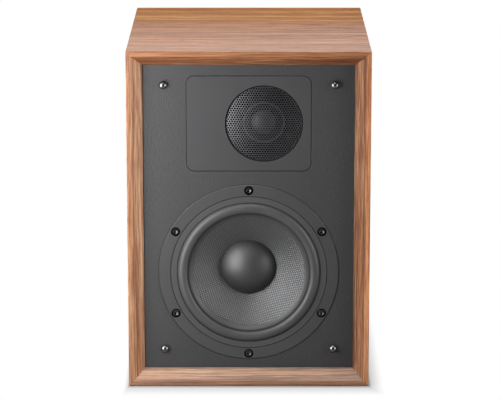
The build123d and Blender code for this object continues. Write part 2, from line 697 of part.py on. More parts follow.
cap_low = cone_front(DUST_CAP_RADIUS) + GLUE_GAP
cap_inner = DUST_CAP_RADIUS - DUST_CAP_WALL
cap_inner_low = cone_front(cap_inner) + GLUE_GAP
cap_inner_rise = cap_low + DUST_CAP_RISE - DUST_CAP_WALL - cap_inner_low
with BuildPart() as woofer_dust_cap:
    section = dome_shell(
        woofer_plane, DUST_CAP_RADIUS, DUST_CAP_RISE, cap_low, cap_inner, cap_inner_rise, cap_inner_low
    )
    revolve(section, axis=woofer_axis)
woofer_dust_cap.part.label = "woofer_dust_cap"
export_step(woofer_dust_cap.part, "parts/woofer_dust_cap.step")

# Voice coil, its former and the spider that centres it
coil_rear = COIL_MIDDLE - COIL_HEIGHT / 2
coil_front = COIL_MIDDLE + COIL_HEIGHT / 2
with BuildPart() as woofer_former:
    former_bore = FORMER_RADIUS - FORMER_WALL
    former_top = cone_front(CONE_NECK) + FORMER_LIP
    revolve(
        ring_outline(woofer_plane, former_bore, FORMER_RADIUS, coil_rear - FORMER_LIP, former_top),
        axis=woofer_axis,
    )
woofer_former.part.label = "woofer_former"
export_step(woofer_former.part, "parts/woofer_former.step")

with BuildPart() as woofer_voice_coil:
    revolve(
        ring_outline(woofer_plane, FORMER_RADIUS + GLUE_GAP, COIL_RADIUS, coil_rear, coil_front),
        axis=woofer_axis,
    )
woofer_voice_coil.part.label = "woofer_voice_coil"
export_step(woofer_voice_coil.part, "parts/woofer_voice_coil.step")

spider_pitch = SPIDER_SPAN / SPIDER_ROLLS
spider_top = LEDGE_A + SPIDER_THICK
spider_rim = SPIDER_OUTER + SPIDER_LEDGE
with BuildPart() as woofer_spider:
    with BuildSketch(woofer_plane):
        with BuildLine():
            for level in (LEDGE_A, spider_top):
                for roll in range(SPIDER_ROLLS):
                    start = SPIDER_INNER + roll * spider_pitch
                    crest = level + SPIDER_ROLL_HEIGHT * (-1) ** roll
                    ThreePointArc(
                        (start, level), (start + spider_pitch / 2, crest), (start + spider_pitch, level)
                    )
            Line((SPIDER_INNER, LEDGE_A), (SPIDER_INNER, spider_top))
            Polyline(
                (SPIDER_OUTER, LEDGE_A),
                (spider_rim, LEDGE_A),
                (spider_rim, spider_top),
                (SPIDER_OUTER, spider_top),
            )
        make_face()
    revolve(axis=woofer_axis)
woofer_spider.part.label = "woofer_spider"
export_step(woofer_spider.part, "parts/woofer_spider.step")

# Woofer motor: top plate, ring magnet and back plate with its vented pole
with BuildPart() as woofer_top_plate:
    revolve(
        ring_outline(woofer_plane, COIL_RADIUS + COIL_GAP, TOP_PLATE_RADIUS, TOP_PLATE_REAR, BASKET_REAR),
        axis=woofer_axis,
    )
woofer_top_plate.part.label = "woofer_top_plate"
export_step(woofer_top_plate.part, "parts/woofer_top_plate.step")

with BuildPart() as woofer_magnet:
    magnet_bore = COIL_RADIUS + MAGNET_INNER_GAP
    magnet_radius = TOP_PLATE_RADIUS + MAGNET_OVERHANG
    revolve(
        ring_outline(woofer_plane, magnet_bore, magnet_radius, MAGNET_REAR, TOP_PLATE_REAR),
        axis=woofer_axis,
    )
woofer_magnet.part.label = "woofer_magnet"
export_step(woofer_magnet.part, "parts/woofer_magnet.step")

with BuildPart() as woofer_back_plate:
    pole_radius = FORMER_RADIUS - FORMER_WALL - POLE_GAP
    section = outline(
        woofer_plane,
        (POLE_VENT_RADIUS, BASKET_REAR),
        (pole_radius, BASKET_REAR),
        (pole_radius, MAGNET_REAR),
        (TOP_PLATE_RADIUS, MAGNET_REAR),
        (TOP_PLATE_RADIUS, WOOFER_REAR),
        (POLE_VENT_RADIUS, WOOFER_REAR),
    )
    revolve(section, axis=woofer_axis)
woofer_back_plate.part.label = "woofer_back_plate"
export_step(woofer_back_plate.part, "parts/woofer_back_plate.step")

# Woofer terminal strip on the basket's lug, with two push-on blades
lug_y = BAFFLE_Y - LEDGE_A + BASKET_WALL
strip_z = WOOFER_Z - lug_low + STRIP_RISE / 2 + SCREW_FIT
with BuildPart() as woofer_terminal_strip:
    with BuildSketch(facing_rear(0, lug_y, strip_z)):
        Rectangle(STRIP_WIDTH, STRIP_RISE)
    extrude(amount=STRIP_THICK)
    with BuildSketch(facing_rear(0, lug_y + STRIP_THICK, strip_z)):
        with GridLocations(BLADE_SPACING, 0, 2, 1):
            Rectangle(BLADE_WIDTH, BLADE_THICK)
    extrude(amount=BLADE_LENGTH)
woofer_terminal_strip.part.label = "woofer_terminal_strip"
export_step(woofer_terminal_strip.part, "parts/woofer_terminal_strip.step")

# Tweeter plate: rectangular front, round boss behind, dished seat for the mesh and the dome's throat
tweeter_plane = turning_front(DOME_X, BAFFLE_Y, TWEETER_Z)
tweeter_axis = axis_of(tweeter_plane)
throat_height = DISH_EDGE - THROAT_FALL
dish_radius = MESH_BORE - MESH_RIM
spot_seat = -PLATE_SINK - TWEETER_SCREW_SPOT
with BuildPart() as tweeter_plate:
    with BuildSketch(facing_front(0, BAFFLE_Y + PLATE_SINK, TWEETER_Z)):
        RectangleRounded(PLATE_WIDTH, PLATE_HEIGHT, PLATE_CORNER)
    extrude(amount=-PLATE_THICK)
    chamfer(tweeter_plate.faces().sort_by(Axis.Y)[0].edges(), PLATE_EASE)
    with BuildSketch(facing_front(DOME_X, BAFFLE_Y - BOSS_BACK, TWEETER_Z)):
        Circle(BOSS_RADIUS)
    extrude(amount=BOSS_DEPTH)
    with BuildSketch(facing_front(0, BAFFLE_Y + PLATE_SINK + PLATE_THICK, TWEETER_Z)):
        with GridLocations(dowel_span_x, dowel_span_z, 2, 2):
            Circle(DOWEL_RADIUS)
    extrude(amount=-DOWEL_LENGTH)
    section = outline(
        tweeter_plane,
        (0, -PLATE_SINK),
        (MESH_BORE, -PLATE_SINK),
        (MESH_BORE, MESH_SEAT),
        (dish_radius, MESH_SEAT),
        (dish_radius, DISH_EDGE),
        (THROAT_RADIUS, throat_height),
        (THROAT_RADIUS, BOSS_BACK),
        (0, BOSS_BACK),
    )
    revolve(section, axis=tweeter_axis, mode=Mode.SUBTRACT)
    with BuildSketch(facing_front(DOME_X, BAFFLE_Y - spot_seat, TWEETER_Z)):
        with PolarLocations(TWEETER_SCREW_CIRCLE, TWEETER_SCREW_COUNT, start_angle=90):
            Circle(TWEETER_SCREW_HEAD_RADIUS + TWEETER_SCREW_FIT)
    extrude(amount=TWEETER_SCREW_SPOT - MESH_SINK - MESH_THICK, mode=Mode.SUBTRACT)
    with BuildSketch(facing_front(DOME_X, BAFFLE_Y - BOSS_BACK, TWEETER_Z)):
        with PolarLocations(TWEETER_SCREW_CIRCLE, TWEETER_SCREW_COUNT, start_angle=90):
            Circle(TWEETER_SCREW_RADIUS + TWEETER_SCREW_FIT)
    extrude(amount=spot_seat - BOSS_BACK, mode=Mode.SUBTRACT)
tweeter_plate.part.label = "tweeter_plate"
export_step(tweeter_plate.part, "parts/tweeter_plate.step")

# Domed mesh: a pressed spherical shell with a flat rim, pierced by a honeycomb of holes
mesh_base = MESH_RADIUS - MESH_RIM
mesh_top = MESH_SEAT + MESH_THICK
with BuildPart() as tweeter_mesh:
    with BuildSketch(tweeter_plane):
        with BuildLine():
            middle = mesh_base / 2
            crown = dome_height(middle, mesh_base, MESH_RISE)
            ThreePointArc((mesh_base, mesh_top), (middle, mesh_top + crown), (0, mesh_top + MESH_RISE))
            Line((0, mesh_top + MESH_RISE), (0, MESH_SEAT + MESH_RISE))
            ThreePointArc((0, MESH_SEAT + MESH_RISE), (middle, MESH_SEAT + crown), (mesh_base, MESH_SEAT))
            Polyline(
                (mesh_base, MESH_SEAT),
                (MESH_RADIUS, MESH_SEAT),
                (MESH_RADIUS, mesh_top),
                (mesh_base, mesh_top),
            )
        make_face()
    revolve(axis=tweeter_axis)
    rows = int(2 * mesh_base / (HOLE_PITCH * sqrt(3)))
    honeycomb = HexLocations(HOLE_PITCH, rows, rows).local_locations
    field = mesh_base - 2 * HOLE_RADIUS
    with BuildSketch(facing_front(DOME_X, BAFFLE_Y - MESH_SEAT, TWEETER_Z)):
        with Locations([spot for spot in honeycomb if spot.position.length < field]):
            RegularPolygon(HOLE_RADIUS, 6)
    extrude(amount=MESH_THICK + MESH_RISE, mode=Mode.SUBTRACT)
tweeter_mesh.part.label = "tweeter_mesh"
export_step(tweeter_mesh.part, "parts/tweeter_mesh.step")

# Dome, its surround and its coil
dome_low = BOSS_BACK + DOME_SURROUND_THICK
dome_edge = DOME_RADIUS + DOME_RIM
with BuildPart() as tweeter_dome:
    hollow = DOME_RADIUS - DOME_WALL
    hollow_rise = DOME_RISE - DOME_WALL
    section = dome_shell(tweeter_plane, DOME_RADIUS, DOME_RISE, dome_low, hollow, hollow_rise, dome_low)
    revolve(section, axis=tweeter_axis)
tweeter_dome.part.label = "tweeter_dome"
export_step(tweeter_dome.part, "parts/tweeter_dome.step")

with BuildPart() as tweeter_surround:
    lip_edge = DOME_RADIUS - DOME_RIM
    dome_lip = ((lip_edge, dome_low), (lip_edge, BOSS_BACK))
    section = half_roll(
        tweeter_plane, dome_edge, DOME_ROLL_WIDTH, dome_lip, DOME_LIP_RADIUS, BOSS_BACK, DOME_SURROUND_THICK
    )
    revolve(section, axis=tweeter_axis)
tweeter_surround.part.label = "tweeter_surround"
export_step(tweeter_surround.part, "parts/tweeter_surround.step")

with BuildPart() as tweeter_voice_coil:
    coil_end = BOSS_BACK - TWEETER_COIL_HEIGHT
    section = ring_outline(tweeter_plane, DOME_RADIUS, TWEETER_COIL_RADIUS, coil_end, BOSS_BACK)
    revolve(section, axis=tweeter_axis)
tweeter_voice_coil.part.label = "tweeter_voice_coil"
export_step(tweeter_voice_coil.part, "parts/tweeter_voice_coil.step")

# Tweeter motor and the damped chamber behind it
tweeter_bore = TWEETER_COIL_RADIUS + TWEETER_GAP
with BuildPart() as tweeter_front_plate:
    revolve(
        ring_outline(tweeter_plane, tweeter_bore, TWEETER_PLATE_RADIUS, TWEETER_PLATE_BACK, BOSS_BACK),
        axis=tweeter_axis,
    )
    with BuildSketch(facing_front(DOME_X, BAFFLE_Y - BOSS_BACK, TWEETER_Z)):
        with PolarLocations(TWEETER_SCREW_CIRCLE, TWEETER_SCREW_COUNT, start_angle=90):
            Circle(TWEETER_SCREW_RADIUS + TWEETER_SCREW_FIT)
    extrude(amount=-TWEETER_PLATE_THICK, mode=Mode.SUBTRACT)
tweeter_front_plate.part.label = "tweeter_front_plate"
export_step(tweeter_front_plate.part, "parts/tweeter_front_plate.step")

with BuildPart() as tweeter_screws:
    with BuildSketch(facing_front(DOME_X, BAFFLE_Y - spot_seat, TWEETER_Z)):
        with PolarLocations(TWEETER_SCREW_CIRCLE, TWEETER_SCREW_COUNT, start_angle=90):
            Circle(TWEETER_SCREW_HEAD_RADIUS)
    extrude(amount=TWEETER_SCREW_HEAD_HEIGHT)
    with BuildSketch(facing_front(DOME_X, BAFFLE_Y - spot_seat - TWEETER_SCREW_HEAD_HEIGHT, TWEETER_Z)):
        with PolarLocations(TWEETER_SCREW_CIRCLE, TWEETER_SCREW_COUNT, start_angle=90):
            Rectangle(CROSS_LENGTH, CROSS_WIDTH)
            Rectangle(CROSS_WIDTH, CROSS_LENGTH)
    extrude(amount=-CROSS_DEPTH, mode=Mode.SUBTRACT)
    with BuildSketch(facing_front(DOME_X, BAFFLE_Y - spot_seat, TWEETER_Z)):
        with PolarLocations(TWEETER_SCREW_CIRCLE, TWEETER_SCREW_COUNT, start_angle=90):
            Circle(TWEETER_SCREW_RADIUS)
    extrude(amount=TWEETER_PLATE_BACK - spot_seat)
tweeter_screws.part.label = "tweeter_screws"
export_step(tweeter_screws.part, "parts/tweeter_screws.step")

with BuildPart() as tweeter_magnet:
    revolve(
        ring_outline(
            tweeter_plane,
            tweeter_bore + TWEETER_MAGNET_GAP,
            TWEETER_MAGNET_RADIUS - TWEETER_SCREW_INSET,
            TWEETER_MAGNET_BACK,
            TWEETER_PLATE_BACK,
        ),
        axis=tweeter_axis,
    )
tweeter_magnet.part.label = "tweeter_magnet"
export_step(tweeter_magnet.part, "parts/tweeter_magnet.step")

with BuildPart() as tweeter_back_plate:
    tweeter_pole = DOME_RADIUS - TWEETER_GAP
    section = outline(
        tweeter_plane,
        (TWEETER_VENT_RADIUS, BOSS_BACK),
        (tweeter_pole, BOSS_BACK),
        (tweeter_pole, TWEETER_MAGNET_BACK),
        (TWEETER_MAGNET_RADIUS, TWEETER_MAGNET_BACK),
        (TWEETER_MAGNET_RADIUS, TWEETER_REAR),
        (TWEETER_VENT_RADIUS, TWEETER_REAR),
    )
    revolve(section, axis=tweeter_axis)
tweeter_back_plate.part.label = "tweeter_back_plate"
export_step(tweeter_back_plate.part, "parts/tweeter_back_plate.step")

with BuildPart() as tweeter_rear_chamber:
    with BuildSketch(facing_rear(DOME_X, BAFFLE_Y - TWEETER_REAR, TWEETER_Z)):
        Circle(CHAMBER_RADIUS)
    extrude(amount=CHAMBER_DEPTH)
    fillet(tweeter_rear_chamber.faces().sort_by(Axis.Y)[-1].edges(), CHAMBER_EASE)
    offset(amount=-CHAMBER_WALL, openings=tweeter_rear_chamber.faces().sort_by(Axis.Y)[0])
tweeter_rear_chamber.part.label = "tweeter_rear_chamber"
export_step(tweeter_rear_chamber.part, "parts/tweeter_rear_chamber.step")

tweeter_strip_z = TWEETER_Z - (CHAMBER_RADIUS + TWEETER_MAGNET_RADIUS) / 2
with BuildPart() as tweeter_terminal_strip:
    with BuildSketch(facing_rear(DOME_X, BAFFLE_Y - TWEETER_REAR, tweeter_strip_z)):
        Rectangle(STRIP_WIDTH, STRIP_RISE)
    extrude(amount=STRIP_THICK)
    with BuildSketch(facing_rear(DOME_X, BAFFLE_Y - TWEETER_REAR + STRIP_THICK, tweeter_strip_z)):
        with GridLocations(BLADE_SPACING, 0, 2, 1):
            Rectangle(BLADE_WIDTH, BLADE_THICK)
    extrude(amount=BLADE_LENGTH)
tweeter_terminal_strip.part.label = "tweeter_terminal_strip"
export_step(tweeter_terminal_strip.part, "parts/tweeter_terminal_strip.step")

# Back panel
port_mouth = PORT_RADIUS + PORT_FLARE
cup_screw_x = CUP_WIDTH + CUP_FLANGE
cup_screw_z = CUP_HEIGHT + CUP_FLANGE
with BuildPart() as back_panel:
    with BuildSketch(facing_rear(0, BACK_INNER_Y, MID_Z)):
        Rectangle(PANEL_WIDTH, PANEL_HEIGHT)
    extrude(amount=BACK_THICK)
    with BuildSketch(facing_rear(0, BACK_Y, PORT_Z)):
        with GridLocations(PORT_SPACING, 0, 2, 1):
            Circle(port_mouth + PORT_FIT)
    extrude(amount=-BACK_THICK, mode=Mode.SUBTRACT)
    with BuildSketch(facing_rear(0, BACK_Y, PORT_Z)):
        with GridLocations(PORT_SPACING, 0, 2, 1):
            Circle(port_mouth + PORT_FLANGE + PORT_FIT)
    extrude(amount=-PORT_WALL, mode=Mode.SUBTRACT)
    with BuildSketch(facing_rear(0, BACK_Y, CUP_Z)):
        RectangleRounded(CUP_WIDTH + 2 * CUP_FIT, CUP_HEIGHT + 2 * CUP_FIT, CUP_CORNER + CUP_FIT)
    extrude(amount=-BACK_THICK, mode=Mode.SUBTRACT)
    with BuildSketch(facing_rear(0, BACK_Y, CUP_Z)):
        with GridLocations(cup_screw_x, cup_screw_z, 2, 2):
            Circle(CUP_SCREW_RADIUS + CUP_SCREW_FIT)
    extrude(amount=CUP_FLANGE_THICK - CUP_SCREW_LENGTH, mode=Mode.SUBTRACT)
back_panel.part.label = "back_panel"
export_step(back_panel.part, "parts/back_panel.step")

# Reflex ports, flared at the mouth and set flush in the back panel
for side, name in ((-1, "port_left"), (1, "port_right")):
    port_plane = turning_rear(side * PORT_SPACING / 2, BACK_Y, PORT_Z)
    bend = 1 - sqrt(0.5)
    throat_arc = (PORT_RADIUS + bend * PORT_FLARE, -bend * PORT_FLARE)
    skin = PORT_FLARE - PORT_WALL
    skin_arc = (PORT_RADIUS + PORT_WALL + bend * skin, -PORT_WALL - bend * skin)
    with BuildPart() as port:
        with BuildSketch(port_plane):
            with BuildLine():
                ThreePointArc((PORT_RADIUS, -PORT_FLARE), throat_arc, (port_mouth, 0))
                Polyline(
                    (port_mouth, 0),
                    (port_mouth + PORT_FLANGE, 0),
                    (port_mouth + PORT_FLANGE, -PORT_WALL),
                    (port_mouth, -PORT_WALL),
                )
                ThreePointArc((port_mouth, -PORT_WALL), skin_arc, (PORT_RADIUS + PORT_WALL, -PORT_FLARE))
                Polyline(
                    (PORT_RADIUS + PORT_WALL, -PORT_FLARE),
                    (PORT_RADIUS + PORT_WALL, -PORT_LENGTH),
                    (PORT_RADIUS, -PORT_LENGTH),
                    (PORT_RADIUS, -PORT_FLARE),
                )
            make_face()
        revolve(axis=axis_of(port_plane))
    port.part.label = name
    export_step(port.part, f"parts/{name}.step")

# Terminal cup
with BuildPart() as terminal_cup:
    with BuildSketch(facing_rear(0, BACK_Y, CUP_Z)):
        RectangleRounded(CUP_WIDTH + 2 * CUP_FLANGE, CUP_HEIGHT + 2 * CUP_FLANGE, CUP_FLANGE_CORNER)
    extrude(amount=CUP_FLANGE_THICK)
    chamfer(terminal_cup.faces().sort_by(Axis.Y)[-1].edges(), CUP_FLANGE_THICK / 3)
    with BuildSketch(facing_rear(0, FLOOR_Y - CUP_FLOOR, CUP_Z)):
        RectangleRounded(CUP_WIDTH, CUP_HEIGHT, CUP_CORNER)
    extrude(amount=BACK_Y - FLOOR_Y + CUP_FLOOR)
    with BuildSketch(facing_rear(0, FLOOR_Y, CUP_Z)):
        RectangleRounded(CUP_WIDTH - 2 * CUP_WALL, CUP_HEIGHT - 2 * CUP_WALL, CUP_CORNER - CUP_WALL)
    extrude(amount=CUP_DEPTH, mode=Mode.SUBTRACT)
    with BuildSketch(facing_rear(0, FLOOR_Y, CUP_Z)):
        with GridLocations(POST_SPACING_X, POST_SPACING_Z, 2, 2):
            Circle(STUD_RADIUS + STUD_FIT)
    extrude(amount=-CUP_FLOOR, mode=Mode.SUBTRACT)
    with Locations(facing_rear(0, CUP_FACE_Y, CUP_Z)):
        with GridLocations(cup_screw_x, cup_screw_z, 2, 2):
            CounterSinkHole(
                CUP_SCREW_RADIUS + CUP_SCREW_FIT,
                CUP_SCREW_HEAD_RADIUS + CUP_SCREW_FIT,
                depth=CUP_FLANGE_THICK,
                counter_sink_angle=90,
            )
terminal_cup.part.label = "terminal_cup"
export_step(terminal_cup.part, "parts/terminal_cup.step")

with BuildPart() as terminal_screws:
    for x in (-cup_screw_x / 2, cup_screw_x / 2):
        for z in (CUP_Z - cup_screw_z / 2, CUP_Z + cup_screw_z / 2):
            screw_plane = turning_rear(x, CUP_FACE_Y, z)
            section = outline(
                screw_plane,
                (0, 0),
                (CUP_SCREW_HEAD_RADIUS, 0),
                (CUP_SCREW_RADIUS, CUP_SCREW_RADIUS - CUP_SCREW_HEAD_RADIUS),
                (CUP_SCREW_RADIUS, -CUP_SCREW_LENGTH),
                (0, -CUP_SCREW_LENGTH),
            )
            revolve(section, axis=axis_of(screw_plane))
    with BuildSketch(facing_rear(0, CUP_FACE_Y, CUP_Z)):
        with GridLocations(cup_screw_x, cup_screw_z, 2, 2):
            Rectangle(CROSS_LENGTH, CROSS_WIDTH)
            Rectangle(CROSS_WIDTH, CROSS_LENGTH)
    extrude(amount=-CROSS_DEPTH, mode=Mode.SUBTRACT)
terminal_screws.part.label = "terminal_screws"
export_step(terminal_screws.part, "parts/terminal_screws.step")

# Binding posts: threaded studs with a socket in the end, held by nuts inside the box
with BuildPart() as post_studs:
    with BuildSketch(facing_rear(0, TAIL_Y, CUP_Z)):
        with GridLocations(POST_SPACING_X, POST_SPACING_Z, 2, 2):
            Circle(STUD_RADIUS)
    extrude(amount=STUD_TAIL + STUD_LENGTH)
    with BuildSketch(facing_rear(0, FLOOR_Y + COLLAR_THICK, CUP_Z)):
        with GridLocations(POST_SPACING_X, POST_SPACING_Z, 2, 2):
            Circle(STUD_BASE_RADIUS)
    extrude(amount=STUD_BASE_THICK)
    with BuildSketch(facing_rear(0, FLOOR_Y + STUD_LENGTH, CUP_Z)):
        with GridLocations(POST_SPACING_X, POST_SPACING_Z, 2, 2):
            Circle(SOCKET_RADIUS)
    extrude(amount=-SOCKET_DEPTH, mode=Mode.SUBTRACT)
post_studs.part.label = "post_studs"
export_step(post_studs.part, "parts/post_studs.step")

with BuildPart() as post_nuts:
    with BuildSketch(facing_front(0, FLOOR_Y - CUP_FLOOR, CUP_Z)):
        with GridLocations(POST_SPACING_X, POST_SPACING_Z, 2, 2):
            RegularPolygon(NUT_RADIUS, 6)
            Circle(STUD_RADIUS + THREAD_FIT, mode=Mode.SUBTRACT)
    extrude(amount=NUT_THICK)
post_nuts.part.label = "post_nuts"
export_step(post_nuts.part, "parts/post_nuts.step")

# Insulating collars and links, one pair of posts to a column
for side, colour in ((1, "red"), (-1, "black")):
    with BuildPart() as collars:
        with BuildSketch(facing_rear(side * POST_SPACING_X / 2, FLOOR_Y, CUP_Z)):
            with GridLocations(0, POST_SPACING_Z, 1, 2):
                Circle(COLLAR_RADIUS)
                Circle(STUD_RADIUS + STUD_FIT, mode=Mode.SUBTRACT)
        extrude(amount=COLLAR_THICK)
    collars.part.label = f"post_collars_{colour}"
    export_step(collars.part, f"parts/post_collars_{colour}.step")

with BuildPart() as jumper_links:
    for side in (-1, 1):
        with BuildSketch(facing_rear(side * POST_SPACING_X / 2, LINK_Y, CUP_Z)):
            SlotCenterToCenter(POST_SPACING_Z, LINK_WIDTH, rotation=90)
            with GridLocations(0, POST_SPACING_Z, 1, 2):
                Circle(STUD_RADIUS + LINK_FIT, mode=Mode.SUBTRACT)
        extrude(amount=LINK_THICK)
jumper_links.part.label = "jumper_links"
export_step(jumper_links.part, "parts/jumper_links.step")

# Captive washers and the fluted knobs that press them down
for side, column in ((1, "right"), (-1, "left")):
    for level, row in ((-1, "lower"), (1, "upper")):
        x = side * POST_SPACING_X / 2
        z = CUP_Z + level * POST_SPACING_Z / 2
        with BuildPart() as washer:
            with BuildSketch(facing_rear(x, WASHER_Y, z)):
                Circle(WASHER_RADIUS)
                Circle(STUD_RADIUS + THREAD_FIT, mode=Mode.SUBTRACT)
            extrude(amount=WASHER_THICK)
        washer.part.label = f"post_washer_{row}_{column}"
        export_step(washer.part, f"parts/post_washer_{row}_{column}.step")
        with BuildPart() as knob:
            with BuildSketch(facing_rear(x, KNOB_Y, z)):
                Circle(KNOB_RADIUS)
            extrude(amount=KNOB_LENGTH)
            chamfer(knob.faces().sort_by(Axis.Y)[-1].edges(), KNOB_EASE)
            with BuildSketch(facing_rear(x, KNOB_Y + KNOB_FOOT, z)):
                with PolarLocations(KNOB_RADIUS, FLUTE_COUNT):
                    Circle(FLUTE_RADIUS)
            extrude(amount=KNOB_LENGTH - KNOB_FOOT, mode=Mode.SUBTRACT)
            with BuildSketch(facing_rear(x, KNOB_Y, z)):
                Circle(STUD_RADIUS + THREAD_FIT)
            extrude(amount=KNOB_LENGTH, mode=Mode.SUBTRACT)
        knob.part.label = f"post_knob_{row}_{column}"
        export_step(knob.part, f"parts/post_knob_{row}_{column}.step")

# Crossover board on snap-in stand-offs
standoff_x = BOARD_WIDTH - 2 * STANDOFF_INSET
standoff_y = BOARD_LENGTH - 2 * STANDOFF_INSET
with BuildPart() as crossover_board:
    with BuildSketch(Plane(origin=(0, BOARD_Y, BOARD_Z))):
        Rectangle(BOARD_WIDTH, BOARD_LENGTH)
        with GridLocations(standoff_x, standoff_y, 2, 2):
            Circle(SNAP_RADIUS + SNAP_FIT, mode=Mode.SUBTRACT)
    extrude(amount=BOARD_THICK)
crossover_board.part.label = "crossover_board"
export_step(crossover_board.part, "parts/crossover_board.step")

with BuildPart() as crossover_standoffs:
    with BuildSketch(Plane(origin=(0, BOARD_Y, PANEL_THICK))):
        with GridLocations(standoff_x, standoff_y, 2, 2):
            Circle(STANDOFF_RADIUS)
    extrude(amount=STANDOFF_HEIGHT)
    with BuildSketch(Plane(origin=(0, BOARD_Y, BOARD_Z))):
        with GridLocations(standoff_x, standoff_y, 2, 2):
            Circle(SNAP_RADIUS)
    extrude(amount=BOARD_THICK + SNAP_HEIGHT)
crossover_standoffs.part.label = "crossover_standoffs"
export_step(crossover_standoffs.part, "parts/crossover_standoffs.step")

# Inductors: a bobbin with two flanges and its winding, one for each driver
inductor_places = [
    (side * (CAPACITOR_REACH + INDUCTOR_GAP + radius), radius) for side, radius in zip((-1, 1), BOBBIN_RADII)
]
with BuildPart() as inductor_bobbins:
    for x, radius in inductor_places:
        with BuildSketch(Plane(origin=(x, BOARD_Y, BOARD_TOP))):
            Circle(radius)
        extrude(amount=BOBBIN_FLANGE)
        with BuildSketch(Plane(origin=(x, BOARD_Y, BOARD_TOP))):
            Circle(BOBBIN_CORE_RADIUS)
        extrude(amount=BOBBIN_HEIGHT)
        with BuildSketch(Plane(origin=(x, BOARD_Y, BOARD_TOP + BOBBIN_HEIGHT - BOBBIN_FLANGE))):
            Circle(radius)
        extrude(amount=BOBBIN_FLANGE)
inductor_bobbins.part.label = "inductor_bobbins"
export_step(inductor_bobbins.part, "parts/inductor_bobbins.step")

with BuildPart() as inductor_windings:
    for x, radius in inductor_places:
        with BuildSketch(Plane(origin=(x, BOARD_Y, BOARD_TOP + BOBBIN_FLANGE))):
            Circle(radius - WINDING_INSET)
            Circle(BOBBIN_CORE_RADIUS + WINDING_GAP, mode=Mode.SUBTRACT)
        extrude(amount=BOBBIN_HEIGHT - 2 * BOBBIN_FLANGE)
inductor_windings.part.label = "inductor_windings"
export_step(inductor_windings.part, "parts/inductor_windings.step")

capacitor_y = BOARD_Y - CAPACITOR_LENGTH / 2
with BuildPart() as capacitors:
    for side, radius in zip((-1, 1), CAPACITOR_RADII):
        x = side * (radius + CAPACITOR_GAP / 2)
        with BuildSketch(facing_rear(x, capacitor_y, BOARD_TOP + radius + CAPACITOR_LIFT)):
            Circle(radius)
        extrude(amount=CAPACITOR_LENGTH)
capacitors.part.label = "capacitors"
export_step(capacitors.part, "parts/capacitors.step")

resistor_span = standoff_x - 2 * STANDOFF_INSET - RESISTOR_SIZE[0]
with BuildPart() as resistors:
    with BuildSketch(Plane(origin=(0, BOARD_Y + BOARD_LENGTH / 2 - RESISTOR_INSET, BOARD_TOP))):
        with GridLocations(resistor_span, 0, 2, 1):
            Rectangle(RESISTOR_SIZE[0], RESISTOR_SIZE[1])
    extrude(amount=RESISTOR_SIZE[2])
resistors.part.label = "resistors"
export_step(resistors.part, "parts/resistors.step")

# Leads: from the posts down to the board, and from the board up to each driver's blades
input_leads = []
for side in (-1, 1):
    for level, run in zip((-1, 1), INPUT_LEAD_RUNS):
        x = side * POST_SPACING_X / 2
        z = CUP_Z + level * POST_SPACING_Z / 2
        input_leads.append(lead((x, TAIL_Y, z), (x, TAIL_Y - run, z), (x, TAIL_Y - run, BOARD_TOP)))

woofer_blade_y = lug_y + STRIP_THICK + BLADE_LENGTH
tweeter_blade_y = BAFFLE_Y - TWEETER_REAR + STRIP_THICK + BLADE_LENGTH
woofer_leads = []
tweeter_leads = []
for side in (-1, 1):
    x = side * BLADE_SPACING / 2
    woofer_leads.append(lead((x, LEAD_Y, BOARD_TOP), (x, LEAD_Y, strip_z), (x, woofer_blade_y, strip_z)))
    x = DOME_X + side * BLADE_SPACING / 2
    tweeter_leads.append(
        lead((x, LEAD_Y, BOARD_TOP), (x, LEAD_Y, tweeter_strip_z), (x, tweeter_blade_y, tweeter_strip_z))
    )

lead_sets = {"input_leads": input_leads, "woofer_leads": woofer_leads, "tweeter_leads": tweeter_leads}
for name, leads in lead_sets.items():
    bundle = Compound(children=leads, label=name)
    export_step(bundle, f"parts/{name}.step")
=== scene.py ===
"""Looks of a two-way bookshelf loudspeaker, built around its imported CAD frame.

Lengths are in metres, as in the frame. MM turns millimetres into metres, and the
patterns in the finishes are written in millimetres.
"""

from __future__ import annotations

import logging
import math
from dataclasses import dataclass
from enum import Enum
from typing import Callable, Dict, List, Mapping, Optional, Sequence, Tuple, Union

import bmesh
import bpy
from mathutils import Matrix, Vector


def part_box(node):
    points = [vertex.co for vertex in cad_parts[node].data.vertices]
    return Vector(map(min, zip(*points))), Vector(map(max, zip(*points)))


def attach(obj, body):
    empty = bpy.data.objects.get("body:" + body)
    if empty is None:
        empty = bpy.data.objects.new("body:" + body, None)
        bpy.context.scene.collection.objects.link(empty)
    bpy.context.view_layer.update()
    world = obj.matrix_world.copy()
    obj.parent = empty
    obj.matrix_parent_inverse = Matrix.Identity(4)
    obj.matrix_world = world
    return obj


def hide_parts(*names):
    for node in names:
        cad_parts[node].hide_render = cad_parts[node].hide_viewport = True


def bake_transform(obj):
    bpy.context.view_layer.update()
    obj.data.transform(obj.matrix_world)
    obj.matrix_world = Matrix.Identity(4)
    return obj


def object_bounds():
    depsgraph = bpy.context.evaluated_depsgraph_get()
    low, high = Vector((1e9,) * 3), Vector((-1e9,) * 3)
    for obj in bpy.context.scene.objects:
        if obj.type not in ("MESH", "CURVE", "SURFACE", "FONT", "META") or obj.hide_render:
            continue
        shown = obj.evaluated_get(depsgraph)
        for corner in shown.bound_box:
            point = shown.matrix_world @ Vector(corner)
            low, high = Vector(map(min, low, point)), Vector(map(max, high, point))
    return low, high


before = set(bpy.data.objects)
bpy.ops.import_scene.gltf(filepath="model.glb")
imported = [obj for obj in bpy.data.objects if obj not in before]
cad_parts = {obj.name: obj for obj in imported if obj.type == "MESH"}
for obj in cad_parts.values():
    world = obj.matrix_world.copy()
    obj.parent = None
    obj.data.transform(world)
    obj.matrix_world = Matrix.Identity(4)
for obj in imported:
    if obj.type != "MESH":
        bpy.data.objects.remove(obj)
CAD_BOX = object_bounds()

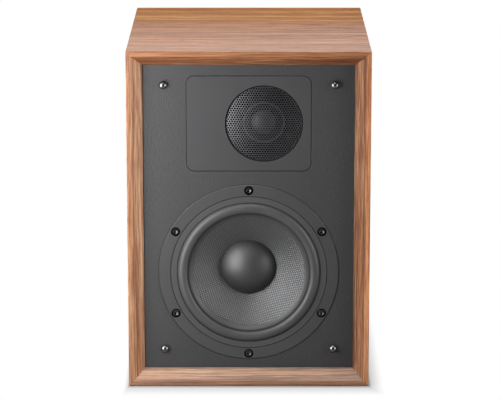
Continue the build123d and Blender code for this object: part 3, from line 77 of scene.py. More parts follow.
LOG = logging.getLogger("loudspeaker")
MM = 0.001
WELD_REACH = 0.001 * MM
FORWARD = Vector((0.0, -1.0, 0.0))
TURN_AXIS = (0.0, 1.0, 0.0)

Colour = Tuple[float, float, float, float]
Pair = Tuple[float, float]
Triple = Tuple[float, float, float]
Entry = Union["Value", float, Sequence[float]]
Sockets = Dict[str, Entry]


def tone(red: int, green: int, blue: int) -> Colour:
    """Turns a screen colour into the linear colour that a shader takes.

    Args:
        red: Red from 0 to 255.
        green: Green from 0 to 255.
        blue: Blue from 0 to 255.

    Returns:
        Linear red, green, blue and a full alpha.
    """
    linear = []
    for channel in (red, green, blue):
        share = channel / 255
        linear.append(share / 12.92 if share <= 0.04045 else ((share + 0.055) / 1.055) ** 2.4)
    return (linear[0], linear[1], linear[2], 1.0)


def shade(colour: Colour, factor: float) -> Colour:
    """Makes a colour darker or lighter.

    Args:
        colour: The colour to start from.
        factor: What its red, green and blue are multiplied by.

    Returns:
        The new colour.
    """
    return (colour[0] * factor, colour[1] * factor, colour[2] * factor, 1.0)


class Value:
    """A shader socket that takes part in Python expressions."""

    def __init__(self, graph: "Graph", socket: Optional[bpy.types.NodeSocket]) -> None:
        """Keeps the socket and the graph that its expressions add nodes to."""
        self.graph = graph
        self.socket = socket

    def _math(self, operation: str, *entries: Entry) -> "Value":
        """Adds one Math node over the given entries."""
        return self.graph.node("ShaderNodeMath", {"operation": operation}, dict(enumerate(entries)))

    def __add__(self, other: Entry) -> "Value":
        """Sum with a number or another value."""
        return self._math("ADD", self, other)

    __radd__ = __add__

    def __sub__(self, other: Entry) -> "Value":
        """This value less another."""
        return self._math("SUBTRACT", self, other)

    def __rsub__(self, other: Entry) -> "Value":
        """A number less this value."""
        return self._math("SUBTRACT", other, self)

    def __mul__(self, other: Entry) -> "Value":
        """Product with a number or another value."""
        return self._math("MULTIPLY", self, other)

    __rmul__ = __mul__

    def __truediv__(self, other: Entry) -> "Value":
        """This value divided by another."""
        return self._math("DIVIDE", self, other)

    def __mod__(self, other: Entry) -> "Value":
        """What is left of this value after whole steps of another."""
        return self._math("FLOORED_MODULO", self, other)

    def __pow__(self, other: Entry) -> "Value":
        """This value raised to a power."""
        return self._math("POWER", self, other)

    def floor(self) -> "Value":
        """The whole number below this value."""
        return self._math("FLOOR", self)

    def sine(self) -> "Value":
        """Sine of this value in radians."""
        return self._math("SINE", self)

    def over(self, other: Entry) -> "Value":
        """The larger of this value and another."""
        return self._math("MAXIMUM", self, other)

    def ease(self, low: float, high: float) -> "Value":
        """Smooth step of this value.

        Args:
            low: Where the step starts.
            high: Where it ends.

        Returns:
            Zero up to low, and one from high on.
        """
        return self.graph.node(
            "ShaderNodeMapRange",
            {"interpolation_type": "SMOOTHSTEP"},
            {"Value": self, "From Min": low, "From Max": high},
        )


class Graph:
    """The node tree of one material or of the world."""

    def __init__(self, tree: bpy.types.NodeTree) -> None:
        """Empties the tree and keeps it."""
        tree.nodes.clear()
        self.tree = tree

    def node(
        self,
        kind: str,
        settings: Optional[Mapping[str, object]] = None,
        inputs: Optional[Mapping[Union[str, int], Entry]] = None,
        output: Union[str, int] = 0,
    ) -> Value:
        """Adds a node of any kind.

        Args:
            kind: The node's type name.
            settings: Properties of the node, with "stops" for a ramp's positions and colours.
            inputs: Values or links of its sockets, by name or number.
            output: The output that is wanted, by name or number.

        Returns:
            That output, or an empty value for a node without outputs.
        """
        made = self.tree.nodes.new(kind)
        for key, setting in (settings or {}).items():
            if key == "stops":
                self._set_stops(made.color_ramp, setting)
            else:
                setattr(made, key, setting)
        for key, entry in (inputs or {}).items():
            if isinstance(entry, Value):
                self.tree.links.new(entry.socket, made.inputs[key])
            else:
                made.inputs[key].default_value = entry
        return Value(self, made.outputs[output] if len(made.outputs) else None)

    @staticmethod
    def _set_stops(ramp: bpy.types.ColorRamp, stops: Sequence[Tuple[float, Colour]]) -> None:
        """Gives a ramp its stops.

        Args:
            ramp: The ramp of a new node.
            stops: Position and colour of each stop, in rising order.
        """
        while len(ramp.elements) < len(stops):
            ramp.elements.new(1.0)
        for element, (position, colour) in zip(ramp.elements, stops):
            element.position = position
            element.color = colour

    def place(self) -> Value:
        """Position in the piece's own frame, in millimetres."""
        spot = self.node("ShaderNodeTexCoord", output="Object")
        return self.node("ShaderNodeVectorMath", {"operation": "SCALE"}, {0: spot, "Scale": 1 / MM})

    def parts(self, vector: Value) -> Tuple[Value, Value, Value]:
        """Takes a vector apart.

        Args:
            vector: The vector.

        Returns:
            Its X, Y and Z.
        """
        split = self.node("ShaderNodeSeparateXYZ", inputs={0: vector})
        outputs = split.socket.node.outputs
        return Value(self, outputs[0]), Value(self, outputs[1]), Value(self, outputs[2])

    def vector(self, x: Entry, y: Entry, z: Entry) -> Value:
        """A vector from three numbers or values."""
        return self.node("ShaderNodeCombineXYZ", inputs={0: x, 1: y, 2: z})

    def scaled(self, vector: Value, factors: Triple) -> Value:
        """A vector multiplied axis by axis."""
        return self.node("ShaderNodeVectorMath", {"operation": "MULTIPLY"}, {0: vector, 1: factors})

    def moved(self, vector: Value, shift: Entry) -> Value:
        """A vector with another added to it."""
        return self.node("ShaderNodeVectorMath", {"operation": "ADD"}, {0: vector, 1: shift})

    def noise(self, vector: Value, scale: float, detail: float = 2.0, rough: float = 0.5) -> Value:
        """Noise about one half, with features about 1 / scale across."""
        sockets = {"Vector": vector, "Scale": scale, "Detail": detail, "Roughness": rough}
        return self.node("ShaderNodeTexNoise", inputs=sockets)

    def mix(self, factor: Entry, first: Entry, second: Entry, mode: str = "MIX") -> Value:
        """Two colours mixed by a factor."""
        settings = {"data_type": "RGBA", "blend_type": mode}
        return self.node("ShaderNodeMix", settings, {0: factor, 6: first, 7: second}, 2)

    def bump(self, height: Value, relief: float) -> Value:
        """A normal that follows a height from 0 to 1, with its relief in millimetres."""
        return self.node("ShaderNodeBump", inputs={"Height": height, "Distance": relief * MM})

    def reach(self, centre: Pair) -> Value:
        """Distance in millimetres from a front-to-back axis through an X and a Z."""
        x, _, z = self.parts(self.place())
        return ((x - centre[0]) ** 2.0 + (z - centre[1]) ** 2.0) ** 0.5

    def ray(self, kind: str) -> Value:
        """One for rays of a kind, such as Camera, and zero for the others."""
        return self.node("ShaderNodeLightPath", output=f"Is {kind} Ray")

    def surface(self, sockets: Mapping[str, Entry]) -> None:
        """Closes a material with one Principled shader."""
        shader = self.node("ShaderNodeBsdfPrincipled", inputs=sockets)
        self.node("ShaderNodeOutputMaterial", inputs={"Surface": shader})


class Grain(Enum):
    """The way that a board's grain runs."""

    ACROSS = "across"
    UPRIGHT = "upright"


@dataclass(frozen=True)
class Finish:
    """A named finish. Each kind says how its sockets are painted."""

    slot: str

    def paint(self, graph: Graph) -> Sockets:
        """Paints the finish."""
        raise NotImplementedError

    def material(self) -> bpy.types.Material:
        """Builds the material once and returns it from then on.

        Returns:
            The material that carries this finish.
        """
        found = bpy.data.materials.get(self.label())
        if found is not None:
            return found
        made = bpy.data.materials.new(self.label())
        made.use_nodes = True
        graph = Graph(made.node_tree)
        graph.surface(self.paint(graph))
        return made

    def label(self) -> str:
        """Name of the material."""
        return f"finish_{self.slot}"


@dataclass(frozen=True)
class Fade:
    """A smooth change between two distances, in millimetres, and how strong it is."""

    near: float
    far: float
    share: float = 1.0

    def rise(self, distance: Value) -> Value:
        """Zero up to the near distance, and the full share past the far one."""
        return distance.ease(self.near, self.far) * self.share

    def fall(self, distance: Value) -> Value:
        """The full share up to the near distance, and zero past the far one."""
        return (1 - distance.ease(self.near, self.far)) * self.share


WALNUT_TONES = {
    0.30: tone(112, 64, 38),
    0.42: tone(144, 90, 57),
    0.50: tone(168, 115, 79),
    0.58: tone(188, 135, 96),
    0.70: tone(212, 166, 127),
}
PORE_BROWN = tone(92, 55, 36)


@dataclass(frozen=True)
class Walnut(Finish):
    """Oiled walnut veneer, with bands, streaks, fibres and open pores along the grain.

    A pattern's size is its length along the grain and its width, in millimetres. The light
    of each board and the factors of its flat front edge and its bevel are painted light and
    shade, lighter or darker to how the lamps fall on each face. The leaf of veneer behind
    leaf_edge has a tint that is partly its own tone and partly painted to take sheen out of it.
    Quirk and root are painted shade lines at the front and back of the bevel, foot is painted
    shade at the lower end of the front edge where the box meets the floor, and seam is the
    line where two leaves of veneer meet.
    """

    board: str
    grain: Grain
    shift: float
    # Painted light and shade: light, front and bevel make each face lighter or darker to how it is
    # lit.
    light: float
    front: float
    bevel: float
    gloss: float
    warm: float = 1.0
    # The leaf's tint is partly its own tone and partly painted to take sheen out of it.
    leaf_edge: Optional[float] = None
    leaf: Colour = (1.0, 1.0, 1.0, 1.0)
    sway_size: Pair = (220.0, 60.0)
    sway_reach: float = 12.0
    band_size: Pair = (420.0, 9.0)
    streak_size: Pair = (170.0, 1.2)
    fibre_size: Pair = (30.0, 0.8)
    pore_size: Pair = (9.0, 0.42)
    pore_cut: Pair = (0.60, 0.70)
    pore_cover: float = 0.42
    shares: Triple = (0.24, 0.40, 0.36)
    contrast: float = 2.6
    edge_calm: float = 1.3
    rough: float = 0.42
    relief: float = 0.05
    edge_fade: Fade = Fade(0.02, 0.10)
    lip_fade: Fade = Fade(0.5, 1.5)
    # Painted shade: the next three darken the bevel's front, its back and the front edge's foot.
    quirk_shade: Fade = Fade(0.4, 1.4, 0.15)
    root_shade: Fade = Fade(10.0, 12.5, 0.25)
    foot: Fade = Fade(0.6, 2.4, 0.5)
    seam: Fade = Fade(0.0, 5.0, 0.2)
    leaf_fade: Fade = Fade(-1.0, 1.0)

    def label(self) -> str:
        """Name of the material, one for each board."""
        return f"finish_{self.slot}_{self.board}"

    def figure(
        self, graph: Graph, place: Value, size: Pair, detail: float, rough: float = 0.5
    ) -> Value:
        """Noise that is drawn out along the grain.

        Args:
            graph: The material's nodes.
            place: Position, in millimetres.
            size: Length of a feature along the grain and its width.
            detail: Detail of the noise.
            rough: Roughness of the noise.

        Returns:
            The noise, about one half.
        """
        run, across = 1 / size[0], 1 / size[1]
        factors = (run, across, across) if self.grain is Grain.ACROSS else (across, across, run)
        return graph.noise(graph.scaled(place, factors), 1.0, detail, rough)

    def edge(self, graph: Graph) -> Value:
        """One on the flat front edge of the board, zero elsewhere."""
        _, y, _ = graph.parts(graph.place())
        return self.edge_fade.fall(y - CAD_BOX[0].y / MM)

    def face_light(self, graph: Graph) -> Value:
        """Painted light and shade on the board's faces: outside, flat front edge and bevel inside
        it.

        Args:
            graph: The material's nodes.

        Returns:
            A factor on the tone of the veneer.
        """
        x, y, z = graph.parts(graph.place())
        low, high = CAD_BOX
        depth = y - low.y / MM
        beyond = x.over(0 - x) - high.x / MM
        above = (z - high.z / MM).over(low.z / MM - z)
        inside = self.lip_fade.rise(0 - beyond.over(above))
        edge = self.edge(graph)
        hollow = inside * (1 - edge)
        # Painted shade lines along the front and back of the bevel.
        dark = hollow * self.quirk_shade.fall(depth) + inside * self.root_shade.rise(depth)
        # Painted shade at the foot of the front edge, where the box meets the floor.
        foot_shade = self.foot.fall(z - low.z / MM) * edge
        level = edge * (self.front - 1) + hollow * (self.bevel - 1) + 1 - dark - foot_shade
        if self.leaf_edge is None:
            return level
        behind = y - self.leaf_edge
        return level * (1 - self.seam.fall(behind.over(0 - behind)))

    def stops(self) -> List[Tuple[float, Colour]]:
        """Stops of the veneer's ramp, in this board's painted light and its warmth.

        Returns:
            Position and colour of each stop.
        """
        tint = (self.light, self.light * math.sqrt(self.warm), self.light * self.warm, 1.0)
        stops = []
        for position, colour in WALNUT_TONES.items():
            stops.append((position, tuple(part * share for part, share in zip(colour, tint))))
        return stops

    def paint(self, graph: Graph) -> Sockets:
        """Colour, roughness and relief of the veneer.

        Args:
            graph: The material's nodes.

        Returns:
            Sockets of the Principled shader.
        """
        place = graph.moved(graph.place(), (self.shift, self.shift, self.shift))
        sway = (self.figure(graph, place, self.sway_size, 1.0) - 0.5) * self.sway_reach
        swung = graph.moved(place, graph.vector(sway, sway, sway))
        band = self.figure(graph, swung, self.band_size, 3.0)
        streak = self.figure(graph, swung, self.streak_size, 4.0, 0.62)
        fibre = self.figure(graph, place, self.fibre_size, 3.0, 0.6)
        pore = self.figure(graph, place, self.pore_size, 1.0).ease(*self.pore_cut)
        banding, streaking, fibring = self.shares
        lines = band * banding + streak * streaking + fibre * fibring
        figure = (lines - 0.5) * (self.contrast - self.edge(graph) * self.edge_calm) + 0.5
        sheet = graph.node("ShaderNodeValToRGB", {"stops": self.stops()}, {"Fac": figure})
        # The faces' painted light and shade multiply the veneer.
        veneer = graph.mix(1.0, sheet, self.face_light(graph), "MULTIPLY")
        # The leaf's tint: partly its own tone, partly painted to take sheen out of it.
        if self.leaf_edge is not None:
            _, y, _ = graph.parts(graph.place())
            behind = self.leaf_fade.rise(y - self.leaf_edge)
            veneer = graph.mix(behind, veneer, self.leaf, "MULTIPLY")
        return {
            "Base Color": graph.mix(pore * self.pore_cover, veneer, PORE_BROWN),
            "Roughness": self.rough + pore * 0.2 - (streak - 0.5) * 0.15,
            "Specular IOR Level": self.gloss,
            "Normal": graph.bump(fibre * 0.4 + (1 - pore) * 0.6, self.relief),
        }


@dataclass(frozen=True)
class Coat(Finish):
    """Paint, moulded plastic, card or foam: one colour with a fine grain and a slow mottle."""

    colour: Colour
    rough: float = 0.5
    grit: float = 0.5
    relief: float = 0.01
    mottle: float = 0.05
    gloss: float = 0.5
    cloud: float = 45.0

    def paint(self, graph: Graph) -> Sockets:
        """Colour with a slow mottle, roughness and relief from the fine grain.

        Args:
            graph: The material's nodes.

        Returns:
            Sockets of the Principled shader.
        """
        place = graph.place()
        grit = graph.noise(place, 1 / self.grit, 3.0, 0.6)
        cloud = graph.noise(place, 1 / self.cloud, 2.0)
        tint = (cloud - 0.5) * 0.6 + (grit - 0.5) * 0.8 + 0.5
        dark = shade(self.colour, 1 - 2 * self.mottle)
        light = shade(self.colour, 1 + 2 * self.mottle)
        return {
            "Base Color": graph.mix(tint.ease(0.1, 0.9), dark, light),
            "Roughness": (grit - 0.5) * 0.25 + (cloud - 0.5) * 0.1 + self.rough,
            "Specular IOR Level": self.gloss,
            "Normal": graph.bump(grit, self.relief),
        }


# Painted shade: black and dulling laid into gaps, grooves, pits and rims, where shade falls.
PAINTED_SHADE_BLACK = tone(9, 9, 10)
PAINTED_SHADE_COVER = 0.9
PAINTED_SHADE_DULLING = 0.35


def painted_shade(graph: Graph, sockets: Mapping[str, Entry], depth: Value) -> Sockets:
    """Paints shade into a finish: darker and duller where little light gets in.

    Args:
        graph: The material's nodes.
        sockets: The finish without its hollows.
        depth: One in a hollow, zero on an open face.

    Returns:
        The finish with its hollows.
    """
    return {
        **sockets,
        "Base Color": graph.mix(depth * PAINTED_SHADE_COVER, sockets["Base Color"], PAINTED_SHADE_BLACK),
        "Roughness": depth * PAINTED_SHADE_DULLING + sockets["Roughness"],
    }


@dataclass(frozen=True)
class TurnedCoat(Coat):
    """The coat of a round piece, with painted shade: dark gaps and black pits, and lips in a pit.

    A gap or a lip is given as its two radii and the share of its full effect. A lip keeps the
    coat's own colour inside a pit, where the painted shade is left off.
    """

    centre: Pair = (0.0, 0.0)
    gaps: Tuple[Triple, ...] = ()
    lips: Tuple[Triple, ...] = ()
    pits: Tuple[Pair, ...] = ()
    pit_radius: float = 1.0
    pit_edge: float = 0.3

    def bands(self, graph: Graph, bands: Sequence[Triple]) -> Value:
        """Where the gaps or the lips are.

        Args:
            graph: The material's nodes.
            bands: Inner radius, outer radius and share of each.

        Returns:
            The share inside a band, zero elsewhere.
        """
        reach = graph.reach(self.centre)
        found = reach * 0.0
        for inner, outer, share in bands:
            edge = (outer - inner) / 4
            within = reach.ease(inner, inner + edge) * (1 - reach.ease(outer - edge, outer))
            found = found.over(within * share)
        return found

    def paint(self, graph: Graph) -> Sockets:
        """The coat with painted shade: dull and dark in gaps, black and without shine in pits.

        Args:
            graph: The material's nodes.

        Returns:
            Sockets of the Principled shader.
        """
        # Painted shade in each gap.
        gap = self.bands(graph, self.gaps)
        pit = gap * 0.0
        rim = Fade(self.pit_radius - self.pit_edge, self.pit_radius)
        for place in self.pits:
            pit = pit.over(rim.fall(graph.reach(place)))
        pit = pit * (1 - self.bands(graph, self.lips))
        # Black metal without shine in each pit: painted shade.
        return {**painted_shade(graph, super().paint(graph), gap.over(pit)), "Metallic": pit}


@dataclass(frozen=True)
class Vinyl(Finish):
    """Textured board covering: small rounded cells, drawn out a little up and down."""

    colour: Colour
    rough: float = 0.6
    cell: float = 1.1
    squash: float = 0.6
    cloud: float = 60.0
    mottle: Pair = (0.72, 1.3)
    relief: float = 0.12
    gloss: float = 0.4

    def paint(self, graph: Graph) -> Sockets:
        """Colour, roughness and relief of the pressed cells.

        Args:
            graph: The material's nodes.

        Returns:
            Sockets of the Principled shader.
        """
        place = graph.place()
        drawn = graph.scaled(place, (1 / self.cell, 1 / self.cell, self.squash / self.cell))
        warp = graph.noise(drawn, 0.7, 2.0)
        bent = graph.moved(drawn, graph.vector(warp, warp, warp))
        sockets = {"Vector": bent, "Scale": 1.0}
        cells = graph.node("ShaderNodeTexVoronoi", {"feature": "F1"}, sockets)
        fine = graph.noise(drawn, 2.2, 2.0)
        height = (1 - cells).ease(0.1, 0.9) * 0.7 + fine * 0.3
        cloud = graph.noise(place, 1 / self.cloud, 2.0)
        tint = height * 0.6 + cloud * 0.4
        dark, light = self.mottle
        return {
            "Base Color": graph.mix(tint, shade(self.colour, dark), shade(self.colour, light)),
            "Roughness": self.rough + 0.12 - height * 0.2,
            "Specular IOR Level": self.gloss,
            "Normal": graph.bump(height, self.relief),
        }


@dataclass(frozen=True)
class Metal(Finish):
    """Bare, plated or blackened metal with turning marks about the front-to-back axis."""

    colour: Colour
    rough: float = 0.25
    lines: float = 0.3
    line_run: float = 20.0
    smudge: float = 6.0
    wear: float = 0.06
    relief: float = 0.006

    def paint(self, graph: Graph) -> Sockets:
        """Colour, roughness and faint lathe lines.

        Args:
            graph: The material's nodes.

        Returns:
            Sockets of the Principled shader.
        """
        place = graph.place()
        factors = (1 / self.line_run, 1 / self.lines, 1 / self.line_run)
        marks = graph.noise(graph.scaled(place, factors), 1.0, 2.0)
        smudge = graph.noise(place, 1 / self.smudge, 3.0)
        dull = (smudge - 0.5) * 2 * self.wear
        return {
            "Base Color": graph.mix(smudge, shade(self.colour, 0.9), self.colour),
            "Metallic": 1.0,
            "Roughness": dull + (marks - 0.5) * self.wear + self.rough,
            "Normal": graph.bump(marks, self.relief),
        }


@dataclass(frozen=True)
class RimShadedMetal(Metal):
    """Metal of a round piece whose rim is painted dark, as shade where it sits in its seat."""

    centre: Pair = (0.0, 0.0)
    rim: Fade = Fade(1.0, 2.0)

    def paint(self, graph: Graph) -> Sockets:
        """The metal, with painted shade from the first radius of the rim to the second."""
        return painted_shade(graph, super().paint(graph), self.rim.rise(graph.reach(self.centre)))


@dataclass(frozen=True)
class DishedMetal(Metal):
    """Metal of screw heads that are dished a little round their sockets."""

    spots: Tuple[Pair, ...] = ()
    dish_radius: float = 2.2
    dish_depth: float = 0.7

    def label(self) -> str:
        """Name of the material, apart from the flat heads' one."""
        return f"finish_{self.slot}_dished"

    def paint(self, graph: Graph) -> Sockets:
        """The metal, with the relief of each head's dish.

        Args:
            graph: The material's nodes.

        Returns:
            Sockets of the Principled shader.
        """
        sunk = graph.reach(self.spots[0]) * 0.0
        for spot in self.spots:
            sunk = sunk.over(1 - (graph.reach(spot) / self.dish_radius) ** 2.0)
        return {**super().paint(graph), "Normal": graph.bump(1 - sunk, self.dish_depth)}


@dataclass(frozen=True)
class Weave(Finish):
    """Plain weave pressed into shape: threads cross over and under in a turned square grid."""

    # Painted light: a colour lighter than the cross colour is sheen, the gap colour is shade.
    colour: Colour
    cross_colour: Colour
    gap_shade_colour: Colour
    pitch: float = 1.5
    turn: float = 0.0
    relief: float = 0.25
    plump: float = 0.6
    gap_fade: Pair = (0.05, 0.75)
    rough: float = 0.4
    cross_rough: float = 0.4
    gloss: float = 0.5
    metal: float = 0.0

    def paint(self, graph: Graph) -> Sockets:
        """Colour with painted sheen and shade, roughness and relief of the crossing threads.

        Args:
            graph: The material's nodes.

        Returns:
            Sockets of the Principled shader.
        """
        x, _, z = graph.parts(graph.place())
        lean = math.radians(self.turn)
        warp = (x * math.cos(lean) + z * math.sin(lean)) / self.pitch
        weft = (z * math.cos(lean) - x * math.sin(lean)) / self.pitch
        over = (warp.floor() + weft.floor()) % 2.0
        warp_round = ((warp % 1.0) * math.pi).sine()
        weft_round = ((weft % 1.0) * math.pi).sine()
        lengthways = warp_round ** self.plump * (weft_round * 0.5 + 0.5)
        crossways = weft_round ** self.plump * (warp_round * 0.5 + 0.5)
        height = over * lengthways + (1 - over) * crossways
        strand = graph.noise(graph.vector(warp.floor(), 0.0, weft.floor()), 3.7, 1.0)
        # Painted shade between the threads, where their height falls.
        lit = height.ease(*self.gap_fade)
        # One way of thread lighter than the other: painted sheen.
        thread = graph.mix(over, self.cross_colour, self.colour)
        uneven = graph.mix(1.0, thread, strand * 0.5 + 0.75, "MULTIPLY")
        rough = over * (self.rough - self.cross_rough) + self.cross_rough
        return {
            "Base Color": graph.mix(lit, self.gap_shade_colour, uneven),
            "Roughness": rough + 0.2 - lit * 0.2,
            "Specular IOR Level": self.gloss,
            "Metallic": self.metal,
            "Normal": graph.bump(height, self.relief),
        }


@dataclass(frozen=True)
class Rubber(Finish):
    """Moulded butyl rubber: satin, with a faint bloom and a very fine skin."""

    colour: Colour
    rough: float = 0.45
    gloss: float = 0.5
    bloom: float = 22.0
    skin: float = 0.35
    mottle: Pair = (0.85, 1.15)
    relief: float = 0.008

    def paint(self, graph: Graph) -> Sockets:
        """Colour, roughness and skin of the rubber.

        Args:
            graph: The material's nodes.

        Returns:
            Sockets of the Principled shader.
        """
        place = graph.place()
        bloom = graph.noise(place, 1 / self.bloom, 3.0)
        skin = graph.noise(place, 1 / self.skin, 2.0)
        dark, light = self.mottle
        return {
            "Base Color": graph.mix(bloom, shade(self.colour, dark), shade(self.colour, light)),
            "Roughness": self.rough + (bloom - 0.5) * 0.16 + (skin - 0.5) * 0.1,
            "Specular IOR Level": self.gloss,
            "Normal": graph.bump(skin, self.relief),
        }


@dataclass(frozen=True)
class GroovedRubber(Rubber):
    """The rubber of a roll, with painted shade in the groove between its foot and its lip."""

    driver: str = ""
    centre: Pair = (0.0, 0.0)
    groove: float = 1.0
    width: float = 1.0

    def label(self) -> str:
        """Name of the material, one for each driver."""
        return f"finish_{self.slot}_{self.driver}"

    def paint(self, graph: Graph) -> Sockets:
        """The plain rubber, with painted shade in the groove.

        Args:
            graph: The material's nodes.

        Returns:
            Sockets of the Principled shader.
        """
        reach = graph.reach(self.centre)
        aside = (reach - self.groove).over(self.groove - reach)
        return painted_shade(graph, super().paint(graph), 1 - aside.ease(0.0, self.width))


def axis_of(node: str) -> Pair:
    """X and Z of a round node's axis, in millimetres."""
    low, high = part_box(node)
    return ((low.x + high.x) / 2 / MM, (low.z + high.z) / 2 / MM)


def circle_spots(centre: Pair, radius: float, count: int) -> Tuple[Pair, ...]:
    """Evenly spaced places round a circle, the first at the top.

    Args:
        centre: X and Z of the circle's centre.
        radius: Radius of the circle.
        count: Number of places.

    Returns:
        X and Z of each place.
    """
    spots = []
    for number in range(count):
        angle = math.radians(90 + 360 * number / count)
        spots.append((centre[0] + radius * math.cos(angle), centre[1] + radius * math.sin(angle)))
    return tuple(spots)


WOOFER_AXIS = axis_of("woofer_cone")
TWEETER_AXIS = axis_of("tweeter_dome")
SCREW_CIRCLE = 86.2
SCREW_COUNT = 6
SCREW_SPOTS = circle_spots(WOOFER_AXIS, SCREW_CIRCLE, SCREW_COUNT)

# Cabinet
# Painted light and shade: light, front and bevel set each board and face to how it is lit.
TOP_WALNUT = Walnut(
    "walnut",
    board="top",
    grain=Grain.ACROSS,
    shift=0.0,
    light=0.81,
    front=0.76,
    bevel=0.76,
    gloss=0.43,
    warm=0.80,
    leaf_edge=28.0,
    leaf=(1.07, 1.02, 0.54, 1.0),
)
BOTTOM_WALNUT = Walnut(
    "walnut",
    board="bottom",
    grain=Grain.ACROSS,
    shift=431.0,
    light=0.9,
    front=0.71,
    bevel=0.63,
    gloss=1.0,
)
LEFT_WALNUT = Walnut(
    "walnut",
    board="left",
    grain=Grain.UPRIGHT,
    shift=857.0,
    light=1.0,
    front=0.68,
    bevel=1.05,
    gloss=0.45,
    warm=1.12,
)
RIGHT_WALNUT = Walnut(
    "walnut",
    board="right",
    grain=Grain.UPRIGHT,
    shift=1283.0,
    light=1.0,
    front=1.14,
    bevel=0.63,
    gloss=0.34,
)
BAFFLE_BLACK = Vinyl("baffle_black", tone(23, 23, 24), rough=0.55, relief=0.10, gloss=0.9)
BACK_BLACK = Vinyl("back_black", tone(50, 50, 52), cell=1.3, relief=0.14)
RAW_BOARD = Coat("raw_board", tone(168, 138, 104), rough=0.85, relief=0.05, mottle=0.12, gloss=0.2)
DAMPING_WOOL = Coat(
    "damping_wool", tone(196, 194, 186), rough=0.95, grit=1.6, relief=0.6, mottle=0.14, gloss=0.1
)
PEG_CHROME = Metal("peg_chrome", tone(118, 119, 122), wear=0.03)

# Used in more than one place
MOULDED_BLACK = Coat("moulded_black", tone(40, 40, 41), rough=0.42, grit=0.35, relief=0.02)
PLATED_STEEL = Metal("plated_steel", tone(176, 178, 178), rough=0.34)
COPPER_WIRE = Metal("copper_wire", tone(186, 112, 72), rough=0.3, lines=0.6)
FERRITE = Coat("ferrite", tone(58, 58, 60), rough=0.7, grit=0.4, relief=0.03, mottle=0.1)
STRIP_LAMINATE = Coat(
    "strip_laminate", tone(126, 88, 52), rough=0.6, grit=0.6, relief=0.02, mottle=0.08
)

# Woofer
# Painted shade: dark gaps round the trim ring and, fainter, the flange's edge; black screw pits.
BASKET_BLACK = TurnedCoat(
    "basket_black",
    tone(40, 40, 41),
    relief=0.012,
    mottle=0.04,
    gloss=0.9,
    centre=WOOFER_AXIS,
    gaps=((79.4, 80.8, 1.0), (91.7, 93.0, 0.35)),
    pits=SCREW_SPOTS,
    pit_radius=4.9,
)
# Painted shade in the gap round its rim.
TRIM_BLACK = TurnedCoat(
    "trim_black",
    tone(49, 49, 50),
    rough=0.46,
    relief=0.008,
    mottle=0.04,
    gloss=0.95,
    centre=WOOFER_AXIS,
    gaps=((79.2, 80.8, 1.0),),
)
GASKET_FOAM = Coat(
    "gasket_foam", tone(46, 46, 48), rough=0.95, grit=0.6, relief=0.2, mottle=0.15, gloss=0.15
)
DISHED_SCREW = DishedMetal(
    "black_screw", tone(78, 78, 80), rough=0.24, wear=0.04, spots=SCREW_SPOTS
)
# Painted shade in the groove at the roll's inner foot.
ROLL_RUBBER = GroovedRubber(
    "surround_rubber",
    tone(60, 60, 61),
    rough=0.47,
    driver="woofer",
    centre=WOOFER_AXIS,
    groove=62.3,
    width=1.5,
)
# Painted sheen: lengthways threads lighter than the cross threads; painted shade in the gaps.
WOVEN_CONE = Weave(
    "woven_cone",
    tone(100, 101, 102),
    cross_colour=tone(68, 68, 69),
    gap_shade_colour=tone(22, 22, 23),
    turn=63,
    rough=0.32,
    cross_rough=0.5,
    gloss=1.0,
    metal=0.5,
)
DUST_CAP = Coat("dust_cap", tone(20, 20, 21), rough=0.53, mottle=0.04, gloss=1.0)
BARE_ALUMINIUM = Metal("bare_aluminium", tone(200, 202, 204), rough=0.35)
# Painted shade in the gaps between threads.
SPIDER_CLOTH = Weave(
    "spider_cloth",
    tone(168, 128, 62),
    cross_colour=tone(154, 116, 56),
    gap_shade_colour=tone(96, 70, 34),
    pitch=0.7,
    rough=0.8,
    cross_rough=0.8,
)

# Tweeter
# Painted shade: the pit behind the mesh is black; the throat's lip keeps the plate's colour.
TWEETER_PLATE = TurnedCoat(
    "tweeter_plate",
    tone(41, 41, 43),
    grit=0.4,
    relief=0.008,
    mottle=0.03,
    gloss=0.84,
    centre=TWEETER_AXIS,
    lips=((18.0, 21.4, 0.9),),
    pits=(TWEETER_AXIS,),
    pit_radius=39.3,
)
# Painted shade on the rim, where it sits in its seat.
MESH_BLACK = RimShadedMetal(
    "mesh_black",
    tone(110, 110, 112),
    rough=0.46,
    wear=0.04,
    centre=TWEETER_AXIS,
    rim=Fade(37.4, 38.4),
)
BLACKENED_STEEL = Metal("blackened_steel", tone(40, 40, 42), rough=0.5)
# Painted shade in the gaps between threads.
DOME_TEXTILE = Weave(
    "dome_textile",
    tone(36, 36, 38),
    cross_colour=tone(32, 32, 34),
    gap_shade_colour=tone(22, 22, 24),
    pitch=0.35,
    relief=0.04,
)
# Painted shade in the groove.
DOME_RUBBER = GroovedRubber(
    "surround_rubber",
    tone(14, 14, 15),
    rough=0.75,
    gloss=0.08,
    driver="tweeter",
    centre=TWEETER_AXIS,
    groove=13.2,
    width=1.2,
)

# Back and crossover
BLACK_SCREW = Metal("black_screw", tone(126, 126, 129), rough=0.26, wear=0.08)
GOLD_PLATE = Metal("gold_plate", tone(226, 184, 102), rough=0.2)
POST_RED = Coat("post_red", tone(176, 28, 26), rough=0.3, relief=0.006)
POST_BLACK = Coat("post_black", tone(36, 36, 37), rough=0.3, relief=0.006)
BOARD_LAMINATE = Coat(
    "board_laminate", tone(46, 92, 58), rough=0.4, grit=0.9, relief=0.02, mottle=0.08
)
NYLON = Coat("nylon", tone(222, 219, 208), mottle=0.03)
CAPACITOR_FILM = Coat("capacitor_film", tone(188, 150, 58), rough=0.35)
RESISTOR_CEMENT = Coat(
    "resistor_cement", tone(206, 202, 192), rough=0.85, grit=0.4, relief=0.05, mottle=0.08
)
LEAD_SLEEVE = Coat("lead_sleeve", tone(44, 44, 46), rough=0.45)


